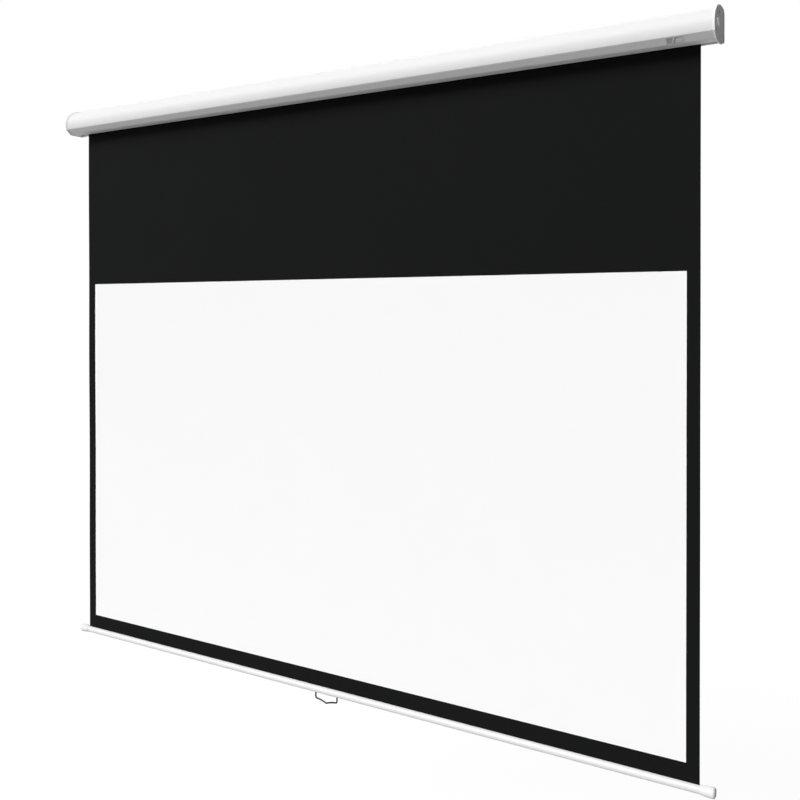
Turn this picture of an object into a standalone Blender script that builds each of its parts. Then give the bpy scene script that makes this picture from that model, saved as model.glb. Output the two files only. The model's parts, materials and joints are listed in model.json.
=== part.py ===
"""Pull-down projection screen on a spring roller, modelled piece by piece.

Frame: metres, +X along the screen to the viewer's right, -Y towards the viewer, +Z up.
The origin is on the casing's flat back, which faces the wall: midway along it, level with its back screws.
The screen is drawn fully pulled down, with the pull handle hanging straight.
"""
import math

import bmesh
import bpy
from mathutils import Matrix, Vector

# Screen surface
VIEW_WIDTH = 2.214
VIEW_HEIGHT = 1.245
SIDE_BORDER = 0.0346
BOTTOM_BORDER = 0.048
BLACK_DROP = 0.563
FABRIC_THICKNESS = 0.0005
FABRIC_WIDTH = VIEW_WIDTH + 2 * SIDE_BORDER

# General fits
FIT_GAP = 0.0003
HOLE_GAP = 0.0003
OVERLAP = 0.001
ROUND_SEGMENTS = 24
HOLE_SEGMENTS = 16
BEND_SEGMENTS = 6
EDGE_ANGLE = 50.0

# Casing section, seen from the end
CASING_DEPTH = 0.105
DOME_Z = 0.011
DOME_RISE = 0.0565
CREST_SETBACK = 0.030
TOP_CORNER = 0.012
BACK_FOOT = 0.022
FRONT_HEIGHT = 0.0195
FRONT_LEAN = 0.003
BELLY_DEPTH = 0.035
CHAMFER_RUN = 0.0205
CASING_WALL = 0.0014
SLOT_WIDTH = 0.012
LIP_HEIGHT = 0.008
FABRIC_SETBACK = 0.0435
CASING_OVERHANG = 0.0409
DOME_SEGMENTS = 24

MIDDLE_Y = -CASING_DEPTH / 2
FRONT_Y = -CASING_DEPTH
CREST_Z = DOME_Z + DOME_RISE
BELLY_Z = DOME_Z - BELLY_DEPTH
FABRIC_Y = -FABRIC_SETBACK
CASING_HALF = FABRIC_WIDTH / 2 + CASING_OVERHANG

# End caps
CAP_PLATE = 0.007
CAP_PROUD = 0.003
CAP_RIM = 0.005
CAP_RECESS = 0.0012
CAP_EDGE = 0.0012
SPIGOT_LENGTH = 0.010
SPIGOT_WALL = 0.0022
DISH_LENGTH = 0.036
DISH_HEIGHT = 0.018
DISH_DEPTH = 0.0015
DISH_SETBACK = 0.064
DISH_Z = 0.0225
CAP_INNER_X = CASING_HALF + FIT_GAP
CAP_OUTER_X = CASING_HALF + CAP_PLATE

# Screws and rivets
SCREW_RADIUS = 0.0019
SCREW_HEAD_RADIUS = 0.0038
SCREW_HEAD_HEIGHT = 0.0020
SCREW_HEAD_TOP_RADIUS = 0.0026
SCREW_HEAD_SIDE = 0.0010
SCREW_THREAD_PAST = 0.003
FACE_SCREW_RISE = 0.038
FACE_SCREW_SIDE = 0.030
FACE_SCREW_DROP = 0.012
RIVET_RADIUS = 0.002
RIVET_HEAD_RADIUS = 0.0037
RIVET_HEAD_HEIGHT = 0.0008

# Roller and fabric path
TUBE_RADIUS = 0.020
TUBE_WALL = 0.0012
TUBE_OVERHANG = 0.003
WOUND_TURNS = 2
ROLLER_Z = 0.018
TUBE_HALF = FABRIC_WIDTH / 2 + TUBE_OVERHANG
TUBE_BORE = TUBE_RADIUS - TUBE_WALL
WOUND_INNER = TUBE_RADIUS + FIT_GAP
WOUND_OUTER = WOUND_INNER + WOUND_TURNS * FABRIC_THICKNESS
ROLL_RADIUS = WOUND_OUTER + FIT_GAP + FABRIC_THICKNESS / 2
ROLLER_Y = FABRIC_Y - ROLL_RADIUS

# Roller brackets, and the plugs in the tube's ends
BRACKET_PLATE = 0.002
TAB_LENGTH = 0.014
PLUG_FLANGE_RADIUS = 0.023
PLUG_FLANGE = 0.003
PLUG_LENGTH = 0.030
PLUG_RADIUS = TUBE_BORE - FIT_GAP
IDLER_BUSH_WALL = 0.0027
ARBOR_BUSH_WALL = 0.00135
BUSH_PROUD = 0.0006
PLUG_INNER_X = TUBE_HALF - PLUG_LENGTH
PLUG_FLANGE_X = TUBE_HALF + FIT_GAP
PLUG_OUTER_X = PLUG_FLANGE_X + PLUG_FLANGE
BRACKET_X = CASING_HALF - BRACKET_PLATE

# Idler side, at the left
PIN_RADIUS = 0.005
PIN_COLLAR_RADIUS = 0.009
PIN_COLLAR = 0.003
PIN_LENGTH = 0.105
PIN_END_GAP = 0.002
DAMPER_FLOOR = 0.025

# Spring side, at the right
ARBOR_RADIUS = 0.006
ARBOR_LENGTH = 0.400
TANG_THICKNESS = 0.005
TANG_HALF_WIDTH = 0.00588
SPRING_WIRE = 0.0022
SPRING_RADIUS = 0.0115
SPRING_CURLS = 30
SPRING_POINTS = 8
ANCHOR_RADIUS = 0.0135
ANCHOR_LENGTH = 0.016
STEADY_LENGTH = 0.010
STEADY_GAP = 0.004
HUB_RADIUS = 0.010
HUB_LENGTH = 0.008

# Ratchet and lock pawl
RATCHET_TEETH = 8
RATCHET_TIP = 0.025
RATCHET_ROOT = 0.022
RATCHET_WIDTH = 0.005
RAMP_STEPS = 6
PAWL_BOSS = 0.0045
PAWL_PIN_RADIUS = 0.0025
PAWL_PIN_HEAD_RADIUS = 0.004
PAWL_PIN_HEAD = 0.002
PAWL_TIP_WIDTH = 0.003
PAWL_ROOT_GAP = 0.0010
PAWL_TURN = 12.0
TAIL_REACH = 0.0095
TAIL_RADIUS = 0.0025

# Lock selector in the sloped lower front of the casing
SELECTOR_TRAVEL = 0.011
WINDOW_SETBACK = 0.0715
WINDOW_TOP = 0.004
WINDOW_HEIGHT = 0.0175
THUMB_GAP = 0.0005
THUMB_LENGTH = 0.031
THUMB_SLANT = 0.007
THUMB_PROUD = 0.0008
RIB_PROUD = 0.0022
RIB_WIDTH = 0.004
RIB_INSET = 0.0005
CARRIER_WALL = 0.0025
CARRIER_MARGIN = 0.0008
ARM_TOP = 0.011
ARM_WIDTH = 0.006
ARM_THICKNESS = 0.0055
CAM_DROP = 0.0022

WINDOW_END = CASING_HALF - WINDOW_SETBACK
WINDOW_START = WINDOW_END - THUMB_LENGTH - SELECTOR_TRAVEL - 2 * THUMB_GAP

# Wall hangers
HANGER_SETBACK = 0.1825
HANGER_PLATE = 0.003
HANGER_EDGE = 0.005
KEYHOLE_Z = 0.034
KEYHOLE_RADIUS = 0.005
KEYSLOT_RADIUS = 0.0027
KEYSLOT_RISE = 0.012
KEYSLOT_TOP = KEYHOLE_Z + KEYSLOT_RISE
HEAD_ROOM = 0.002
RIVET_PITCH = 0.018
HANGER_X = CASING_HALF - HANGER_SETBACK

# Weight bar
BAR_RADIUS = 0.011
KEDER_CHANNEL = 0.003
KEDER_RISE = 0.006
KEDER_RADIUS = 0.0026
CHANNEL_MOUTH = 0.0016
ROD_BORE = 0.0055
ROD_BORE_DROP = 0.004
ROD_RADIUS = 0.0051
BAR_CAP_RADIUS = 0.014
BAR_CAP_LENGTH = 0.0375
BAR_CAP_GAP = 0.002
BAR_CAP_FLOOR = 0.004
BAR_CAP_ROUND = 0.006
BAR_CAP_EDGE = 0.001
BAR_SEGMENTS = 40

VIEW_TOP = BELLY_Z - BLACK_DROP
VIEW_BOTTOM = VIEW_TOP - VIEW_HEIGHT
BAR_Z = VIEW_BOTTOM - BOTTOM_BORDER - BAR_RADIUS
BAR_CAP_X = FABRIC_WIDTH / 2 + BAR_CAP_GAP
BAR_CAP_END = BAR_CAP_X + BAR_CAP_LENGTH
BAR_HALF = BAR_CAP_END - BAR_CAP_FLOOR - FIT_GAP

# Pull handle
HANDLE_X = -0.027
HANDLE_SPAN = 0.0835
HANDLE_WIRE = 0.0025
HANDLE_BEND = 0.008
HANDLE_CORNER = 0.006
HANDLE_DROP = 0.030
HANDLE_SAG = 0.009
HANDLE_SAG_STRAIGHT = 0.00315
GRIP_STEPS = 8
HANDLE_STUB = 0.012
HANDLE_BUSH_LENGTH = 0.010
HANDLE_BUSH_RADIUS = 0.0052
HANDLE_SLOT_HALF = 0.0075
PIVOT_Z = BAR_Z - ROD_BORE_DROP

# The bar rises until its end caps are just under the belly, by whole ratchet teeth
PARK_GAP = 0.002
TOOTH_TRAVEL = 2 * math.pi * ROLL_RADIUS / RATCHET_TEETH
TRAVEL_TEETH = math.floor((BELLY_Z - PARK_GAP - BAR_CAP_RADIUS - BAR_Z) / TOOTH_TRAVEL)
SCREEN_TRAVEL = TRAVEL_TEETH * TOOTH_TRAVEL

LEFT, RIGHT = -1, 1
SIDE_NAME = {LEFT: "left", RIGHT: "right"}
ALONG_X = (math.pi / 2, 0, math.pi / 2)


def clear_scene():
    for obj in list(bpy.data.objects):
        bpy.data.objects.remove(obj, do_unlink=True)


def make_collection(name):
    collection = bpy.data.collections.new(name)
    bpy.context.scene.collection.children.link(collection)
    return collection


def make_material(name, colour, roughness, metallic=0.0):
    material = bpy.data.materials.new(name)
    material.use_nodes = True
    shader = material.node_tree.nodes["Principled BSDF"]
    shader.inputs["Base Color"].default_value = (*colour, 1.0)
    shader.inputs["Roughness"].default_value = roughness
    shader.inputs["Metallic"].default_value = metallic
    material.diffuse_color = (*colour, 1.0)
    return material


clear_scene()
PARTS = make_collection("projection_screen")
CUTTERS = make_collection("cutters")

WHITE_STEEL = make_material("white_powder_coat", (0.86, 0.86, 0.86), 0.45)
WHITE_PLASTIC = make_material("white_plastic", (0.82, 0.82, 0.81), 0.4)
BLACK_FABRIC = make_material("black_fabric", (0.014, 0.014, 0.014), 0.85)
WHITE_FABRIC = make_material("matte_white_surface", (0.9, 0.9, 0.9), 0.9)
ZINC_STEEL = make_material("zinc_plated_steel", (0.55, 0.56, 0.58), 0.35, 1.0)
SPRING_STEEL = make_material("spring_steel", (0.25, 0.25, 0.27), 0.4, 1.0)
HANDLE_STEEL = make_material("dark_plated_wire", (0.18, 0.18, 0.18), 0.25, 1.0)
BLACK_PLASTIC = make_material("black_plastic", (0.03, 0.03, 0.03), 0.5)
NYLON = make_material("natural_nylon", (0.75, 0.73, 0.66), 0.5)


def make_body(name, location):
    """An empty on a moving body's joint axis, which carries that body's pieces."""
    empty = bpy.data.objects.new(name, None)
    empty.location = location
    empty.empty_display_size = 0.05
    PARTS.objects.link(empty)
    return empty


def add_object(name, data, material, body=None, cutter=False):
    obj = bpy.data.objects.new(name, data)
    if cutter:
        CUTTERS.objects.link(obj)
        obj.hide_render = True
        obj.display_type = "WIRE"
        return obj
    PARTS.objects.link(obj)
    data.materials.append(material)
    if body:
        obj.parent = body
        obj.matrix_parent_inverse = Matrix.Translation(body.location).inverted()
    return obj


def join(obj, other):
    modifier = obj.modifiers.new("Join", "BOOLEAN")
    modifier.operation = "UNION"
    modifier.object = other


def cut(obj, cutters):
    """Cut all the cutters out of an object in one step."""
    group = bpy.data.collections.new(f"cut_{obj.name}")
    CUTTERS.children.link(group)
    for cutter in cutters:
        CUTTERS.objects.unlink(cutter)
        group.objects.link(cutter)
    modifier = obj.modifiers.new("Cut", "BOOLEAN")
    modifier.operation = "DIFFERENCE"
    modifier.operand_type = "COLLECTION"
    modifier.collection = group


def bevel(obj, width):
    modifier = obj.modifiers.new("Edge", "BEVEL")
    modifier.width = width
    modifier.segments = 1
    modifier.limit_method = "ANGLE"
    modifier.angle_limit = math.radians(EDGE_ANGLE)


def box(name, low, high, material=None, body=None, cutter=False):
    low, high = Vector(low), Vector(high)
    bm = bmesh.new()
    bmesh.ops.create_cube(bm, size=1.0)
    bmesh.ops.scale(bm, vec=high - low, verts=bm.verts)
    mesh = bpy.data.meshes.new(name)
    bm.to_mesh(mesh)
    bm.free()
    obj = add_object(name, mesh, material, body, cutter)
    obj.location = (low + high) / 2
    return obj


def drill(name, radius, start, end):
    """A round cutter between two points, turned a little so that no corners of two holes line up."""
    start, end = Vector(start), Vector(end)
    turn = Matrix.Rotation(2 * math.pi / HOLE_SEGMENTS / 3, 4, "Z")
    sizes = {"radius1": radius, "radius2": radius, "depth": (end - start).length}
    bm = bmesh.new()
    bmesh.ops.create_cone(bm, cap_ends=True, segments=HOLE_SEGMENTS, matrix=turn, **sizes)
    mesh = bpy.data.meshes.new(name)
    bm.to_mesh(mesh)
    bm.free()
    obj = add_object(name, mesh, None, cutter=True)
    obj.location = (start + end) / 2
    obj.rotation_euler = (end - start).to_track_quat("Z", "Y").to_euler()
    return obj


def turned(
    name, profile, location, direction, material=None, body=None, cutter=False, segments=ROUND_SEGMENTS
):
    """Turn a profile of (radius, height) points about the direction through the location.

    The points run from the top down the outer side. A profile that doesn't start on the axis is a ring.
    """
    mesh = bpy.data.meshes.new(name)
    count = len(profile)
    edges = [(i, i + 1) for i in range(count - 1)]
    if profile[0][0] > 0:
        edges.append((count - 1, 0))
    mesh.from_pydata([(radius, 0, height) for radius, height in profile], edges, [])
    obj = add_object(name, mesh, material, body, cutter)
    obj.location = location
    obj.rotation_euler = Vector(direction).to_track_quat("Z", "Y").to_euler()
    screw = obj.modifiers.new("Turn", "SCREW")
    screw.axis = "Z"
    screw.steps = segments
    screw.render_steps = segments
    screw.use_merge_vertices = True
    screw.merge_threshold = 0.00001
    screw.use_smooth_shade = False
    return obj


def roller_turned(name, profile, side, material, body=None, segments=ROUND_SEGMENTS):
    """A turned piece on the roller's axis; its heights are distances from the screen's middle."""
    location = (0, ROLLER_Y, ROLLER_Z)
    return turned(name, profile, location, (side, 0, 0), material, body, segments=segments)


def ring(outer, inner, low, high):
    return [(outer, high), (outer, low), (inner, low), (inner, high)]


def circle(centre, radius, segments=ROUND_SEGMENTS, start=0.0):
    steps = [start + 2 * math.pi * i / segments for i in range(segments)]
    return [(centre[0] + radius * math.cos(a), centre[1] + radius * math.sin(a)) for a in steps]


def arc(centre, radius, start, end, segments):
    """Points on an arc, from the start angle to the end angle in degrees, both included."""
    steps = [math.radians(start + (end - start) * i / segments) for i in range(segments + 1)]
    return [(centre[0] + radius * math.cos(a), centre[1] + radius * math.sin(a)) for a in steps]


def flat_outline(name, outlines, thickness):
    """A 2D curve with an extrude: the first outline is the rim, and the others are holes."""
    curve = bpy.data.curves.new(name, "CURVE")
    curve.dimensions = "2D"
    curve.fill_mode = "BOTH"
    curve.extrude = thickness / 2
    for outline in outlines:
        spline = curve.splines.new("POLY")
        spline.points.add(len(outline) - 1)
        for point, (across, up) in zip(spline.points, outline):
            point.co = (across, up, 0, 1)
        spline.use_cyclic_u = True
    return curve


def as_mesh(obj, cutter=False):
    """Replace a curve object by its mesh with welded caps, so that it can be cut or joined."""
    bpy.context.view_layer.update()
    depsgraph = bpy.context.evaluated_depsgraph_get()
    mesh = bpy.data.meshes.new_from_object(obj.evaluated_get(depsgraph))
    bm = bmesh.new()
    bm.from_mesh(mesh)
    bmesh.ops.remove_doubles(bm, verts=bm.verts, dist=0.000001)
    bmesh.ops.recalc_face_normals(bm, faces=bm.faces)
    bm.to_mesh(mesh)
    bm.free()
    name, parent = obj.name, obj.parent
    matrix, inverse = obj.matrix_world.copy(), obj.matrix_parent_inverse.copy()
    materials = list(obj.data.materials)
    bpy.data.objects.remove(obj, do_unlink=True)
    solid = bpy.data.objects.new(name, mesh)
    (CUTTERS if cutter else PARTS).objects.link(solid)
    mesh.materials.clear()
    for material in materials:
        mesh.materials.append(material)
    if cutter:
        solid.hide_render = True
        solid.display_type = "WIRE"
    if parent:
        solid.parent = parent
        solid.matrix_parent_inverse = inverse
    solid.matrix_world = matrix
    return solid


def section_plate(name, outlines, x_low, x_high, material=None, body=None, cutter=False):
    """A plate whose outlines are (y, z) points, between two places along X."""
    x_low, x_high = min(x_low, x_high), max(x_low, x_high)
    curve = flat_outline(name, outlines, x_high - x_low)
    obj = add_object(name, curve, material, body, cutter)
    obj.location = ((x_low + x_high) / 2, 0, 0)
    obj.rotation_euler = ALONG_X
    return as_mesh(obj, cutter)


def shell(name, path, thickness, x_low, x_high, material=None, body=None, cutter=False):
    """A bent sheet: an open (y, z) path drawn along X, thickened to its right-hand side seen from +X."""
    bm = bmesh.new()
    rows = [[bm.verts.new((x, y, z)) for y, z in path] for x in (x_high, x_low)]
    for i in range(len(path) - 1):
        bm.faces.new((rows[0][i], rows[0][i + 1], rows[1][i + 1], rows[1][i]))
    mesh = bpy.data.meshes.new(name)
    bm.to_mesh(mesh)
    bm.free()
    obj = add_object(name, mesh, material, body, cutter)
    solidify = obj.modifiers.new("Sheet", "SOLIDIFY")
    solidify.thickness = thickness
    solidify.offset = -1.0
    solidify.use_even_offset = True
    return obj


def offset_outline(points, distance):
    """Move each side of a closed outline outwards by a distance, keeping its corners sharp."""
    result = []
    following = points[1:] + points[:1]
    area = sum(a[0] * b[1] - b[0] * a[1] for a, b in zip(points, following))
    turn = 1 if area > 0 else -1
    for i in range(len(points)):
        here = Vector(points[i])
        before = (here - Vector(points[i - 1])).normalized()
        after = (Vector(following[i]) - here).normalized()
        normal_before = Vector((before.y, -before.x)) * turn
        normal_after = Vector((after.y, -after.x)) * turn
        middle = (normal_before + normal_after).normalized()
        result.append(tuple(here + middle * distance / middle.dot(normal_before)))
    return result


def clip_below(points, level):
    """Cut off what a closed outline has below a level."""
    result = []
    for i, (y, z) in enumerate(points):
        last_y, last_z = points[i - 1]
        if (z >= level) != (last_z >= level):
            share = (level - last_z) / (z - last_z)
            result.append((last_y + share * (y - last_y), level))
        if z >= level:
            result.append((y, z))
    return result


def casing_outline():
    """The casing's closed section: top corner, dome, front, sloped lower front, belly, lower back."""
    points = arc((-TOP_CORNER, CREST_Z - TOP_CORNER), TOP_CORNER, 0, 90, BEND_SEGMENTS)
    for across, up in arc((0, 0), 1, 90, 180, DOME_SEGMENTS):
        points.append((across * (CASING_DEPTH - CREST_SETBACK) - CREST_SETBACK, DOME_Z + up * DOME_RISE))
    points.append(FRONT_CORNER)
    points.append(BELLY_FRONT)
    points.append(BELLY_BACK)
    points.append((0, DOME_Z - BACK_FOOT))
    return points


FRONT_CORNER = (FRONT_Y + FRONT_LEAN, DOME_Z - FRONT_HEIGHT)
BELLY_FRONT = (FRONT_Y + CHAMFER_RUN, BELLY_Z)
BELLY_BACK = (FABRIC_Y + SLOT_WIDTH / 2, BELLY_Z)
SLOT_FRONT_Y = FABRIC_Y - SLOT_WIDTH / 2
SECTION = casing_outline()
SPIGOT_OFFSET = CASING_WALL + FIT_GAP
BRACKET_OFFSET = SPIGOT_OFFSET + SPIGOT_WALL + FIT_GAP

# The sloped lower front, as a frame of its own: along X, down the slope, and in through the wall
SLOPE = (Vector(BELLY_FRONT) - Vector(FRONT_CORNER)).normalized()
SLOPE_FRAME = Matrix(
    (
        (1, 0, 0, 0),
        (0, SLOPE.x, -SLOPE.y, FRONT_CORNER[0]),
        (0, SLOPE.y, SLOPE.x, FRONT_CORNER[1]),
        (0, 0, 0, 1),
    )
)
CARRIER_DEPTH = CASING_WALL + FIT_GAP


def open_path(outline, slot_front, slot_back):
    """The closed section as an open path from the slot's front, over the top, to the slot's back."""
    belly_front, belly_back, back_corner = outline[-3:]
    path = [(slot_front, belly_front[1]), belly_front]
    path += reversed(outline[:-3])
    path.append(back_corner)
    low, high = Vector(belly_back), Vector(back_corner)
    path.append(tuple(low.lerp(high, (slot_back - low.x) / (high.x - low.x))))
    return path


def slope_plate(name, outline, depth_low, depth_high, material=None, body=None, cutter=False):
    """A plate parallel to the sloped lower front; its outline is (along X, down the slope)."""
    curve = flat_outline(name, [outline], depth_high - depth_low)
    obj = add_object(name, curve, material, body, cutter)
    obj.matrix_world = SLOPE_FRAME @ Matrix.Translation((0, 0, (depth_low + depth_high) / 2))
    return as_mesh(obj, cutter)


def rectangle(low, high):
    return [(low[0], low[1]), (high[0], low[1]), (high[0], high[1]), (low[0], high[1])]


def back_screw_x(side):
    return side * (CASING_HALF - SPIGOT_LENGTH / 2)


def face_screw_places():
    return [
        (MIDDLE_Y, DOME_Z + FACE_SCREW_RISE),
        (MIDDLE_Y - FACE_SCREW_SIDE, DOME_Z - FACE_SCREW_DROP),
        (MIDDLE_Y + FACE_SCREW_SIDE, DOME_Z - FACE_SCREW_DROP),
    ]


def hanger_rivet_places(side):
    return [side * HANGER_X - RIVET_PITCH / 2, side * HANGER_X + RIVET_PITCH / 2]


def make_casing():
    path = open_path(SECTION, SLOT_FRONT_Y, BELLY_BACK[0])
    path = [(SLOT_FRONT_Y, BELLY_Z + LIP_HEIGHT)] + path + [(BELLY_BACK[0], BELLY_Z + LIP_HEIGHT)]
    casing = shell("casing", path, CASING_WALL, -CASING_HALF, CASING_HALF, WHITE_STEEL)
    window = rectangle((WINDOW_START, WINDOW_TOP), (WINDOW_END, WINDOW_TOP + WINDOW_HEIGHT))
    cutters = [slope_plate("cut_selector_window", window, -CASING_WALL, 2 * CASING_WALL, cutter=True)]
    for side in (LEFT, RIGHT):
        places = [(back_screw_x(side), SCREW_RADIUS)]
        places += [(x, RIVET_RADIUS) for x in hanger_rivet_places(side)]
        for number, (x, radius) in enumerate(places, 1):
            name = f"cut_casing_back_{SIDE_NAME[side]}_{number}"
            cutters.append(drill(name, radius + HOLE_GAP, (x, -3 * CASING_WALL, 0), (x, CASING_WALL, 0)))
        half = KEYHOLE_RADIUS + HEAD_ROOM
        low = (side * HANGER_X - half, -3 * CASING_WALL, KEYHOLE_Z - half)
        high = (side * HANGER_X + half, CASING_WALL, KEYSLOT_TOP + half)
        cutters.append(box(f"cut_casing_screw_head_{SIDE_NAME[side]}", low, high, cutter=True))
    cut(casing, cutters)


def make_end_cap(side):
    """A moulded plate with a raised rim outside, and a spigot inside the casing's end."""
    name = f"end_cap_{SIDE_NAME[side]}"
    rim = offset_outline(SECTION, CAP_PROUD)
    cap = section_plate(name, [rim], side * CAP_INNER_X, side * CAP_OUTER_X, WHITE_PLASTIC)
    bevel(cap, CAP_EDGE)
    slot_clear = CASING_WALL + HOLE_GAP + SPIGOT_WALL / 2
    spigot_outline = offset_outline(SECTION, -SPIGOT_OFFSET)
    spigot_path = open_path(spigot_outline, SLOT_FRONT_Y - slot_clear, BELLY_BACK[0] + slot_clear)
    ends = sorted((side * (CASING_HALF - SPIGOT_LENGTH), side * (CAP_INNER_X + OVERLAP)))
    join(cap, shell(f"join_{name}_spigot", spigot_path, SPIGOT_WALL, ends[0], ends[1], cutter=True))

    panel = offset_outline(SECTION, CAP_PROUD - CAP_RIM)
    panel_x = CAP_OUTER_X - CAP_RECESS
    outside = CAP_OUTER_X + OVERLAP
    cutters = [section_plate(f"cut_{name}_panel", [panel], side * panel_x, side * outside, cutter=True)]
    dish_profile = [
        (0, OVERLAP / 2),
        (DISH_LENGTH / 2, OVERLAP / 2),
        (DISH_LENGTH / 2, 0),
        (DISH_LENGTH / 4, -DISH_DEPTH),
        (0, -DISH_DEPTH),
    ]
    dish_at = (side * panel_x, -DISH_SETBACK, DISH_Z)
    dish = turned(f"cut_{name}_dish", dish_profile, dish_at, (side, 0, 0), cutter=True)
    dish.scale.y = DISH_HEIGHT / DISH_LENGTH
    cutters.append(dish)
    for number, (y, z) in enumerate(face_screw_places(), 1):
        start, end = (side * (CAP_INNER_X - OVERLAP), y, z), (side * outside, y, z)
        cutters.append(drill(f"cut_{name}_screw_{number}", SCREW_RADIUS + HOLE_GAP, start, end))
    x = back_screw_x(side)
    start, end = (x, -BRACKET_OFFSET - OVERLAP, 0), (x, OVERLAP, 0)
    cutters.append(drill(f"cut_{name}_back_screw", SCREW_RADIUS + HOLE_GAP, start, end))
    cut(cap, cutters)


def make_roller_bracket(side):
    """A steel plate behind the end cap, with a bent tab along the casing's back."""
    name = f"roller_bracket_{SIDE_NAME[side]}"
    outline = offset_outline(SECTION, -BRACKET_OFFSET)
    tab_back, tab_bottom = outline[-1]
    outline = clip_below(outline, BELLY_Z + LIP_HEIGHT + OVERLAP)
    bracket = section_plate(name, [outline], side * BRACKET_X, side * CASING_HALF, ZINC_STEEL)
    ends = sorted((side * (BRACKET_X - TAB_LENGTH), side * (BRACKET_X + OVERLAP)))
    tab_front = tab_back - BRACKET_PLATE
    tab = box(f"join_{name}_tab", (ends[0], tab_front, tab_bottom), (ends[1], tab_back, DOME_Z), cutter=True)
    join(bracket, tab)

    inner, outer = side * (BRACKET_X - OVERLAP), side * (CASING_HALF + OVERLAP)
    holes = [(y, z, SCREW_RADIUS) for y, z in face_screw_places()]
    if side == LEFT:
        holes.append((ROLLER_Y, ROLLER_Z, PIN_RADIUS))
    else:
        holes.append((*PAWL_PIVOT, PAWL_PIN_RADIUS))
    cutters = []
    for number, (y, z, radius) in enumerate(holes, 1):
        cutters.append(drill(f"cut_{name}_{number}", radius + HOLE_GAP, (inner, y, z), (outer, y, z)))
    x = back_screw_x(side)
    start, end = (x, tab_front - OVERLAP, 0), (x, tab_back + OVERLAP, 0)
    cutters.append(drill(f"cut_{name}_back_screw", SCREW_RADIUS + HOLE_GAP, start, end))
    if side == RIGHT:
        half_width = ARBOR_RADIUS + HOLE_GAP
        half_height = TANG_THICKNESS / 2 + HOLE_GAP
        low = (inner, ROLLER_Y - half_width, ROLLER_Z - half_height)
        high = (outer, ROLLER_Y + half_width, ROLLER_Z + half_height)
        cutters.append(box(f"cut_{name}_tang", low, high, cutter=True))
    cut(bracket, cutters)


def screw_profile(length):
    """A pan-head screw: the head above height 0, the shank below."""
    return [
        (0, SCREW_HEAD_HEIGHT),
        (SCREW_HEAD_TOP_RADIUS, SCREW_HEAD_HEIGHT),
        (SCREW_HEAD_RADIUS, SCREW_HEAD_SIDE),
        (SCREW_HEAD_RADIUS, 0),
        (SCREW_RADIUS, 0),
        (SCREW_RADIUS, -length),
        (0, -length),
    ]


def make_screws(side):
    length = CAP_OUTER_X - CAP_RECESS - BRACKET_X + SCREW_THREAD_PAST
    profile = screw_profile(length)
    head_x = side * (CAP_OUTER_X - CAP_RECESS + FIT_GAP)
    for number, (y, z) in enumerate(face_screw_places(), 1):
        name = f"cap_screw_{SIDE_NAME[side]}_{number}"
        turned(name, profile, (head_x, y, z), (side, 0, 0), ZINC_STEEL, segments=HOLE_SEGMENTS)
    back_length = BRACKET_OFFSET + BRACKET_PLATE + SCREW_THREAD_PAST
    profile = screw_profile(back_length)
    place = (back_screw_x(side), FIT_GAP, 0)
    turned(f"back_screw_{SIDE_NAME[side]}", profile, place, (0, 1, 0), ZINC_STEEL, segments=HOLE_SEGMENTS)


def make_idler_side():
    collar_x = BRACKET_X - FIT_GAP
    pin_end = CASING_HALF
    pin_start = pin_end - PIN_LENGTH
    profile = [
        (0, pin_end),
        (PIN_RADIUS, pin_end),
        (PIN_RADIUS, collar_x),
        (PIN_COLLAR_RADIUS, collar_x),
        (PIN_COLLAR_RADIUS, collar_x - PIN_COLLAR),
        (PIN_RADIUS, collar_x - PIN_COLLAR),
        (PIN_RADIUS, pin_start),
        (0, pin_start),
    ]
    roller_turned("idler_pin", profile, LEFT, ZINC_STEEL)
    bush_inner = PIN_RADIUS + FIT_GAP
    bush_outer = bush_inner + IDLER_BUSH_WALL
    plug_bore = bush_outer + FIT_GAP
    profile = plug_profile(plug_bore, PLUG_OUTER_X)
    roller_turned("idler_plug", profile, LEFT, BLACK_PLASTIC, ROLLER)
    profile = ring(bush_outer, bush_inner, PLUG_INNER_X, PLUG_OUTER_X + BUSH_PROUD)
    roller_turned("idler_bush", profile, LEFT, NYLON, ROLLER)
    damper_x = PLUG_INNER_X - FIT_GAP
    bore_floor = pin_start - PIN_END_GAP
    profile = [
        (0, bore_floor),
        (bush_inner, bore_floor),
        (bush_inner, damper_x),
        (PLUG_RADIUS, damper_x),
        (PLUG_RADIUS, bore_floor - DAMPER_FLOOR),
        (0, bore_floor - DAMPER_FLOOR),
    ]
    roller_turned("retract_damper", profile, LEFT, BLACK_PLASTIC, ROLLER)


def plug_profile(bore, end):
    return [
        (PLUG_FLANGE_RADIUS, PLUG_OUTER_X),
        (PLUG_FLANGE_RADIUS, PLUG_FLANGE_X),
        (PLUG_RADIUS, PLUG_FLANGE_X),
        (PLUG_RADIUS, PLUG_INNER_X),
        (bore, PLUG_INNER_X),
        (bore, end),
    ] + ([(HUB_RADIUS, end), (HUB_RADIUS, PLUG_OUTER_X)] if end > PLUG_OUTER_X else [])


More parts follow.
